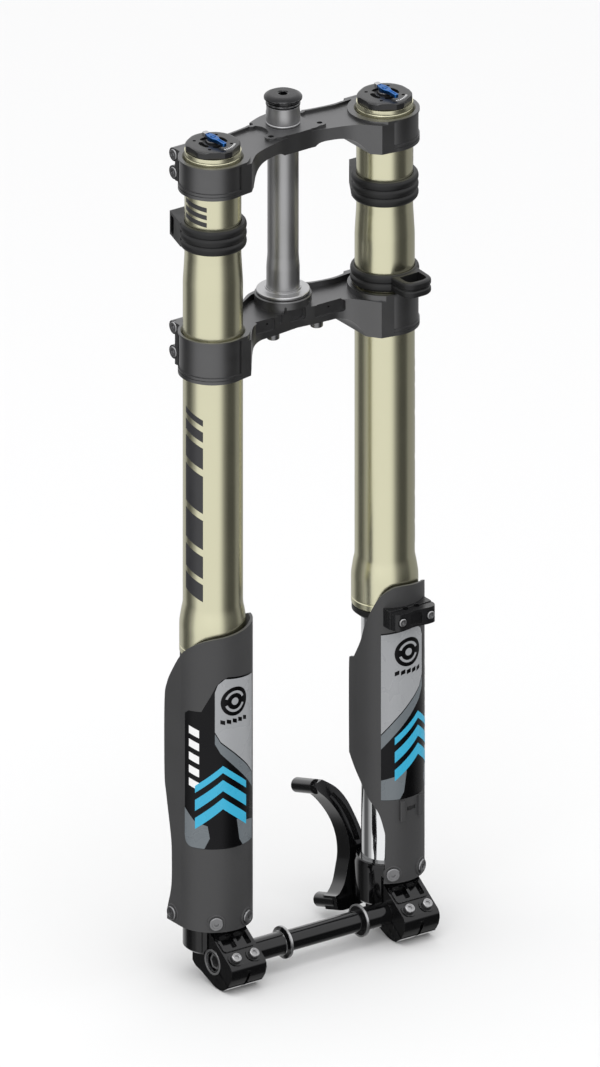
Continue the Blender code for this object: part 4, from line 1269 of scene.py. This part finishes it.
for name, side in SIDES.items():
    mid = side * LUG_MID
    half = (LUG_OUTER - LUG_INNER) / 2
    from_x, to_x = mid - half, mid + half
    outline = [(AXLE_Y + y, AXLE_Z + h) for y, h in LUG_SIDE]
    lug = slab(f"{name}_forged_lug", outline, from_x, to_x, SIDEWAYS)
    at = on_leg(side)
    socket = lathe(
        "socket",
        [
            (SOCKET_R - 2, SOCKET_FOOT), (SOCKET_R, SOCKET_FOOT + 2), (SOCKET_R, 39),
            (SOCKET_R - 1.4, 42), (SOCKET_R - 1.4, 44), (SOCKET_R - 2.2, 45),
        ],
        128, at=at,
    )
    weld(lug, socket)
    for angle in (-150, -30):
        turned = place_at(at) @ Matrix.Rotation(math.radians(angle), 4, "Z")
        weld(lug, brick((SOCKET_R - 3, -2.2, 6), (SOCKET_R + 1.6, 2.2, 36), turned))
    if side > 0:
        caliper_arm(lug)
    face = slope_place(side)
    raised = [slab("rim", rounded(-17.2, 17, 17.2, 36.5, 3), -4, 1.4, face)]
    for row in (-1, 1):
        raised.append(drum(7.4, -6, 1.2, *pinch_place(face, row)))
    weld(lug, *raised)
    tools = [slab("well", rounded(-14.6, 19.5, -1.4, 34.2, 2.2), -2.6, 8, face)]
    tools.append(slab("well", rounded(1.4, 19.5, 14.6, 34.2, 2.2), -2.6, 8, face))
    tools.append(drum(21.62, STANCHION_FOOT - 0.3, 140, at, steps=128))
    tools.append(drum(AXLE_R + GAP, 60, 130, AXLE, (side, 0, 0), 96))
    tools.append(drum(11.9, 50, LUG_INNER, AXLE, (side, 0, 0), 64))
    if side < 0:
        tools.append(drum(12.9, LUG_OUTER - 6.2, 130, AXLE, TO_RIGHT, 96))
    slit = Matrix.Translation(AXLE * MM) @ Matrix.Rotation(SLOPE, 4, "X")
    tools.append(brick((mid - 30, -50, -0.8), (mid + 30, -8, 0.8), slit))
    for low in (-9.5, -15.5):
        tools.append(brick((from_x - 5, -60, low), (from_x + 0.9, -12, low + 1.2), slit))
        tools.append(brick((to_x - 0.9, -60, low), (to_x + 5, -12, low + 1.2), slit))
    tools.append(brick((mid - 1.6, -60, -20), (mid + 1.6, -26.5, 30), slit))
    for row in (-1, 1):
        tools.append(drum(2.7, -25, 8, *pinch_place(face, row), 32))
    window = rounded(AXLE_Y + 13, AXLE_Z + 6, AXLE_Y + 27, AXLE_Z + 30, 3)
    for end in (from_x, to_x):
        tools.append(slab("window", window, end - 1.2, end + 1.2, SIDEWAYS))
    carve(lug, *tools)
    dress(lug, 0.9, "lower_assembly", "gloss_black", gloss_black, f"{name}_axle_lug", segments=3)

# ------------------------------------------------------------------ axle and pinch bolts
# The hollow axle goes in from the right, its ringed head in a seat in that lug. Two
# bolts in each lug clamp it. A flanged spacer at each side gives the hub its face.

end, tail = LUG_OUTER + 0.5, -LUG_OUTER + 0.5
axle = lathe(
    "through_axle",
    [
        (12.4, end - 0.4), (12.4, end - 5.6), (AXLE_R, end - 6), (AXLE_R, tail),
        (6.5, tail), (6.5, end - 12), (8.6, end - 12), (8.6, end - 0.4),
    ],
    96, True, AXLE, TO_RIGHT,
)
dress(axle, 0.4, "lower_assembly", "gloss_black", gloss_black, "axle")
ring = lathe(
    "axle_head_ring", [(12.3, end), (12.3, end - 1.5), (10.2, end - 1.5), (10.2, end)], 96, True,
    AXLE, TO_RIGHT,
)
dress(ring, 0.25, "lower_assembly", "satin_silver", satin_alloy)
flat_key = drum(8.0, end - 11, end - 3, AXLE, TO_RIGHT, 6)
flat_key.name = "axle_key_socket"
carve(flat_key, drum(6.0, end - 12, end, AXLE, TO_RIGHT, 6))
dress(flat_key, 0.2, "lower_assembly", "satin_silver", satin_alloy)
for name, side in SIDES.items():
    low, high = box_mm(f"{name}_hub_spacer")
    flange = low.x if side > 0 else -high.x
    face = LUG_INNER - 0.3
    spacer = lathe(
        f"{name}_hub_flange",
        [
            (11.0, face), (11.0, flange + 6.5), (11.6, flange + 4.6), (13.8, flange + 3.4),
            (15.4, flange + 2.8), (15.4, flange + 0.2), (AXLE_R + GAP, flange + 0.2),
            (AXLE_R + GAP, face),
        ],
        96, True, AXLE, (side, 0, 0),
    )
    dress(spacer, 0.3, "lower_assembly", "gloss_black", gloss_black, f"{name}_hub_spacer")
    rim = lathe(
        f"{name}_flange_rim",
        [
            (15.5, flange + 2.2), (15.5, flange), (13.9, flange), (13.9, flange + 0.9),
            (14.9, flange + 1.2), (14.9, flange + 2.2),
        ],
        96, True, AXLE, (side, 0, 0),
    )
    dress(rim, 0.15, "lower_assembly", "satin_silver", satin_alloy)

pinch_bolt = bolt(
    "pinch_bolt", head_r=5.0, head=3.4, shank_r=2.5, length=22, socket=2.3, dish=0.5
)
for name, side in SIDES.items():
    face = slope_place(side)
    for row, level in ((-1, "inner"), (1, "outer")):
        seat, out = pinch_place(face, side * row, 1.3)
        screw_in(pinch_bolt, f"{name}_pinch_bolt_{level}", seat, out, "lower_assembly")
bpy.data.objects.remove(pinch_bolt)

# ------------------------------------------------------------------ guards
# Each stanchion has a moulded guard: a thin shell round the front, with a flat wing on
# the outer side. Three bolts hold it to the lug. The left one is cut away inside, where
# the brake disc runs.

guard_plastic = moulded(
    "moulded guard plastic", (0.030, 0.030, 0.031), (0.038, 0.038, 0.039), 0.44, 0.54,
    pebble=0.45, bite=0.20, depth=0.03, wear_and_glint=0.3, worn_and_glint=(0.08, 0.08, 0.082), size=60,
)
GUARD_R, GUARD_WALL = 36.4, 2.6
QUARTER = GUARD_R * math.pi / 2  # from the front to where the wing's flat begins
GUARD_FOOT, GUARD_CREST = 30.0, 328.0
GUARD_BOLT_H = 39.0

# The rear edge of the wing, and the inner edge: distance behind the leg, height
WING_EDGE = (
    (21, 30), (19.5, 44), (15.5, 58), (13.5, 72), (13.5, 99), (15, 116), (22, 153), (25, 175),
    (25, 246), (21, 267), (12, 285), (1, 303), (-7, 313), (-16, 321), (-24, 326), (-30, 328),
)
PLAIN_EDGE = ((4.7, 30), (4.7, 300), (4.2, 312), (1.5, 320), (-4, 325), (-10, 328))
DISC_EDGE = (
    (-29.2, 30), (-30.2, 56), (-30.2, 74), (-29.4, 84), (-26, 101), (-18.7, 114), (-11.2, 129),
    (-3, 142), (3.4, 152), (4.7, 160), (4.7, 242), (1.5, 247), (-2, 250), (-10.6, 268),
    (-15.4, 286), (-22.4, 305), (-27, 315), (-32, 323), (-35, 327), (-36.2, 328),
)


def round_way(back):
    """Distance round the guard, from its front, to where it is so far behind the leg."""
    if back > 0:
        return QUARTER + back
    return GUARD_R * math.acos(min(1.0, max(-1.0, -back / GUARD_R)))


def edge_at(edge, height):
    """How far round an edge stands at a height."""
    line = [(h, round_way(back)) for back, h in edge]
    for (low, a), (high, b) in zip(line, line[1:]):
        if height <= high:
            t = max(0.0, (height - low) / max(high - low, 1e-6))
            return a + (b - a) * t
    return line[-1][1]


def round_guard(side, along, radius):
    """X and Y at a distance round the guard, on a wall of some radius."""
    if along > QUARTER:
        a, b = radius, along - QUARTER
    elif along < -QUARTER:
        a, b = -radius, -QUARTER - along
    else:
        turn = FRONT + along / GUARD_R
        a, b = radius * math.cos(turn), radius * math.sin(turn)
    return side * (LEG_X + a), LEG_Y + b


guard_bolt = bolt(
    "guard_bolt", head_r=6.6, head=1.95, shank_r=2.5, length=12.5, socket=2.2, dish=0.5
)
COLUMNS, ROWS = 84, 150
for name, side in SIDES.items():
    wing, inner = flowing(WING_EDGE, 6), flowing(DISC_EDGE if side > 0 else PLAIN_EDGE, 6)
    bpy.ops.object.select_all(action="DESELECT")
    bpy.ops.mesh.primitive_grid_add(
        x_subdivisions=COLUMNS, y_subdivisions=ROWS, size=2, calc_uvs=True
    )
    guard = bpy.context.object
    guard.name = f"{name}_moulded_guard"
    for point in guard.data.vertices:
        across, up_share = (point.co.x + 1) / 2, (point.co.y + 1) / 2
        height = GUARD_FOOT + (GUARD_CREST - GUARD_FOOT) * up_share
        right, left = edge_at(wing, height), -edge_at(inner, height)
        along = left + (right - left) * across
        x, y = round_guard(side, along, GUARD_R)
        fall = 8.0 * up_share ** 10 * max(0.0, (along + 25) / 60)
        point.co = (x * MM, y * MM, (AXLE_Z + height - fall) * MM)
    close_up(guard)
    outward = guard.data.polygons[len(guard.data.polygons) // 2]
    away = Vector((outward.center.x - side * LEG_X * MM, outward.center.y - LEG_Y * MM, 0))
    if outward.normal.dot(away) < 0:
        guard.data.flip_normals()
    wall = guard.modifiers.new("Wall", "SOLIDIFY")
    wall.thickness = GUARD_WALL * MM
    wall.offset = -1
    only(guard)
    bpy.ops.object.modifier_apply(modifier=wall.name)
    bosses, holes, seats = [], [], []
    for label, angle in (("inner", -113.0), ("outer", -60.0), ("side", 0.0)):
        turn = math.radians(angle)
        out = Vector((side * math.cos(turn), math.sin(turn), 0))
        at = on_leg(side, GUARD_BOLT_H) + out * GUARD_R
        if label == "side":
            at.y += 12
        bosses.append(lathe("boss", [(8.6, -2.4), (8.6, 0.1), (8.1, 0.5)], 48, at=at, along=out))
        reach = 8.0 if label != "side" else 10.5
        bosses.append(drum(5.8, -reach, -1, at, out, 32))
        holes.append(drum(2.9, -14, 6, at, out, 24))
        seats.append((label, at + out * 0.55, out))
    weld(guard, *bosses)
    if side > 0:
        bosses = []
        for along in (-6.0, 15.5):
            x, y = round_guard(side, along, GUARD_R)
            out = Vector((x - LEG_X, y - LEG_Y, 0)).normalized()
            turn = math.atan2(out.y, out.x)
            place = place_at((x, y, AXLE_Z)) @ Matrix.Rotation(turn, 4, "Z")
            bosses.append(slab("rib", rounded(-2, -2.6, 3.0, 2.6, 1.2), 92, 112, place))
        weld(guard, *bosses)
        x, y = round_guard(side, 4.5, GUARD_R)
        holes.append(brick((x - 5, y - 6, AXLE_Z + 100), (x + 5, y + 8, AXLE_Z + 104)))
    carve(guard, *holes)
    dress(
        guard, 0.45, "lower_assembly", "guard_plastic", guard_plastic, f"{name}_guard", angle=40
    )
    for label, at, out in seats:
        screw_in(
            guard_bolt, f"{name}_guard_bolt_{label}", at, out, "lower_assembly", dark_plated
        )
bpy.data.objects.remove(guard_bolt)

# ------------------------------------------------------------------ guard prints
# Each guard carries a thin printed sheet on its front: black ground, pale and grey
# panels, cyan chevrons, a round mark of arcs, and short bars towards the wing.


def printed(name, dark, light, metallic=0.0):
    return moulded(
        name, dark, light, 0.24, 0.32, pebble=0.3, bite=0.01, depth=0.005, wear_and_glint=0.0, size=25,
        metallic=metallic,
    )


print_black = printed("print black", (0.005, 0.005, 0.006), (0.008, 0.008, 0.009), 0.75)
print_pale = printed("print pale grey", (0.270, 0.277, 0.287), (0.285, 0.292, 0.302))
print_mid = printed("print mid grey", (0.105, 0.122, 0.133), (0.13, 0.147, 0.16))
print_cyan = printed("print cyan", (0.022, 0.32, 0.50), (0.03, 0.37, 0.57))


def disc_shape(x, h, radius):
    return arc(x, h, radius, 0, 352.5, 47)


def band_shape(x, h, outer, inner, start, end):
    return arc(x, h, outer, start, end, 24) + arc(x, h, inner, end, start, 24)


def chevron(low, thick):
    """A band that rises to a point over the middle of the sheet."""
    left, middle, right, peak = -13, 13, 39, low + 21
    return [
        (left, low), (middle, peak), (right, low),
        (right, low + thick), (middle, peak + thick), (left, low + thick),
    ]


SHEET_IN, SHEET_OUT = -25.6, 50.4  # the sheet's edges
sheet_shape = [
    (SHEET_OUT, 124), (SHEET_OUT, 245), (46, 248.6), (33, 249.4), (30, 255), (24, 266),
    (19, 276), (14, 281), (8, 283.6), (SHEET_IN, 279), (SHEET_IN, 113),
    *arc(42, 121, 8, -90, 0, 6),
]
pale_shape = [
    (20.4, 230), (20.4, 269.4), (17.6, 277), (11, 282), (SHEET_IN, 277.6), (SHEET_IN, 179),
    (-14, 192), (2, 208), (15, 220),
]
mid_band = [
    (20.4, 218), (20.4, 228), (15, 218.5), (2, 206.5), (-14, 190.5), (SHEET_IN, 177.5),
    (SHEET_IN, 164), (-14, 177), (2, 194), (15, 208),
]
foot_outer = [
    (SHEET_OUT, 151), (SHEET_OUT, 124), *arc(42, 121.4, 8, 0, -90, 6),
    (30, 113.4), (25, 124), (27, 136), (40, 140),
]
foot_inner = [
    (-1, 141), (-4, 120), (-8, 113.4), (SHEET_IN, 113.4), (SHEET_IN, 133), (-14, 136),
]
emblem_at = (1.0, 258.5)
# Name, shapes, colour, and how far the sheet stands off the guard
PRINTS = (
    ("print_sheet", [sheet_shape], print_black, 0.02),
    ("print_panel", [pale_shape], print_pale, 0.12),
    ("print_band", [mid_band, foot_outer, foot_inner], print_mid, 0.12),
    ("print_chevrons", [chevron(132, 11), chevron(150, 11), chevron(168, 7)], print_cyan, 0.22),
    ("print_disc", [disc_shape(*emblem_at, 14.2)], print_black, 0.22),
    (
        "print_arcs",
        [
            band_shape(*emblem_at, 10.4, 8.0, 20, 160),
            band_shape(*emblem_at, 10.4, 8.0, 200, 340), disc_shape(*emblem_at, 3.6),
        ],
        print_pale, 0.32,
    ),
    (
        "print_dashes",
        [slanted(-13 + 6 * index, -8.6 + 6 * index, 236.5, 240.5, 1.4) for index in range(5)],
        print_black, 0.22,
    ),
    (
        "print_side_bars",
        [slanted(35, 45.5, low, low + 7.5, 3.5) for low in (171, 184, 197, 210, 223)],
        white_print, 0.12,
    ),
)
for name, side in SIDES.items():
    for label, shapes, material, lift in PRINTS:
        sheet = flat_print(f"{name}_{label}", shapes, 3.0)
        for point in sheet.data.vertices:
            out = GUARD_R + lift - point.co.y / MM
            x, y = round_guard(side, point.co.x / MM, out)
            point.co = (x * MM, y * MM, point.co.z + AXLE_Z * MM)
        close_up(sheet)
        fit(smooth(sheet), "lower_assembly", "guard_plastic", material)

# ------------------------------------------------------------------ hose clamp
# Two moulded blocks on the left guard clamp the brake hose between them. Two screws
# from the front hold them together.

# The pale edge colour here is partly wearing and partly a painted highlight along the edges.
clamp_black = moulded(
    "semi gloss black", (0.008, 0.008, 0.009), (0.014, 0.014, 0.015), 0.22, 0.30, pebble=0.4,
    bite=0.08, depth=0.02, wear_and_glint=0.5, worn_and_glint=(0.12, 0.12, 0.12), metallic=0.3,
)
CLAMP_X = LEG_X + 1
SCREW_OUT, SCREW_Z = 15.5, AXLE_Z + 296
SPLIT_Y, FRONT_Y = LEG_Y - 40.2, LEG_Y - 50.0
clamp_low, clamp_high = AXLE_Z + 287, AXLE_Z + 305
TO_FRONT = (0, -1, 0)
base_plan = rounded(CLAMP_X - 23, SPLIT_Y + 0.1, CLAMP_X + 23, LEG_Y - 20, 1.2)
base = slab("hose_clamp_block", base_plan, clamp_low, clamp_high)
front = flowing([
    (CLAMP_X - 23, SPLIT_Y - 0.1), (CLAMP_X - 22.8, SPLIT_Y - 4), (CLAMP_X - 20, FRONT_Y + 1),
    (CLAMP_X - 12, FRONT_Y), (CLAMP_X, FRONT_Y + 1.6), (CLAMP_X + 12, FRONT_Y),
    (CLAMP_X + 20, FRONT_Y + 1), (CLAMP_X + 22.8, SPLIT_Y - 4), (CLAMP_X + 23, SPLIT_Y - 0.1),
], 4)
cover = slab("hose_clamp_lid", front, clamp_low + 0.8, clamp_high - 0.8)
carve(base, drum(GUARD_R + 0.05, 200, 400, on_leg(1), steps=128))
for block in (base, cover):
    for row in (-1, 1):
        carve(block, drum(2.9, 200, 400, (CLAMP_X + row * 6, SPLIT_Y, AXLE_Z), steps=32))
        at = (CLAMP_X + row * SCREW_OUT, FRONT_Y, SCREW_Z)
        carve(block, drum(2.3, -18, 6, at, TO_FRONT, 24))
for row in (-1, 1):
    at = (CLAMP_X + row * SCREW_OUT, FRONT_Y, SCREW_Z)
    carve(cover, drum(4.9, -1.2, 6, at, TO_FRONT, 32))
window = rounded(CLAMP_X - 6.5, AXLE_Z + 290.5, CLAMP_X + 6.5, AXLE_Z + 301.5, 1.6)
carve(cover, slab("window", window, -FRONT_Y - 3.0, 100, FORWARD))
for block, node_name in ((base, "hose_clamp_base"), (cover, "hose_clamp_cover")):
    dress(block, 1.0, "lower_assembly", "guard_plastic", clamp_black, node_name, segments=3)
clamp_screw = bolt(
    "clamp_screw", head_r=4.0, head=2.0, shank_r=2.0, length=14, socket=1.7, dish=0.4
)
for row, label in ((-1, "inner"), (1, "outer")):
    at = Vector((CLAMP_X + row * SCREW_OUT, FRONT_Y + 1.1, SCREW_Z))
    screw_in(clamp_screw, f"hose_clamp_screw_{label}", at, TO_FRONT, "lower_assembly")
bpy.data.objects.remove(clamp_screw)
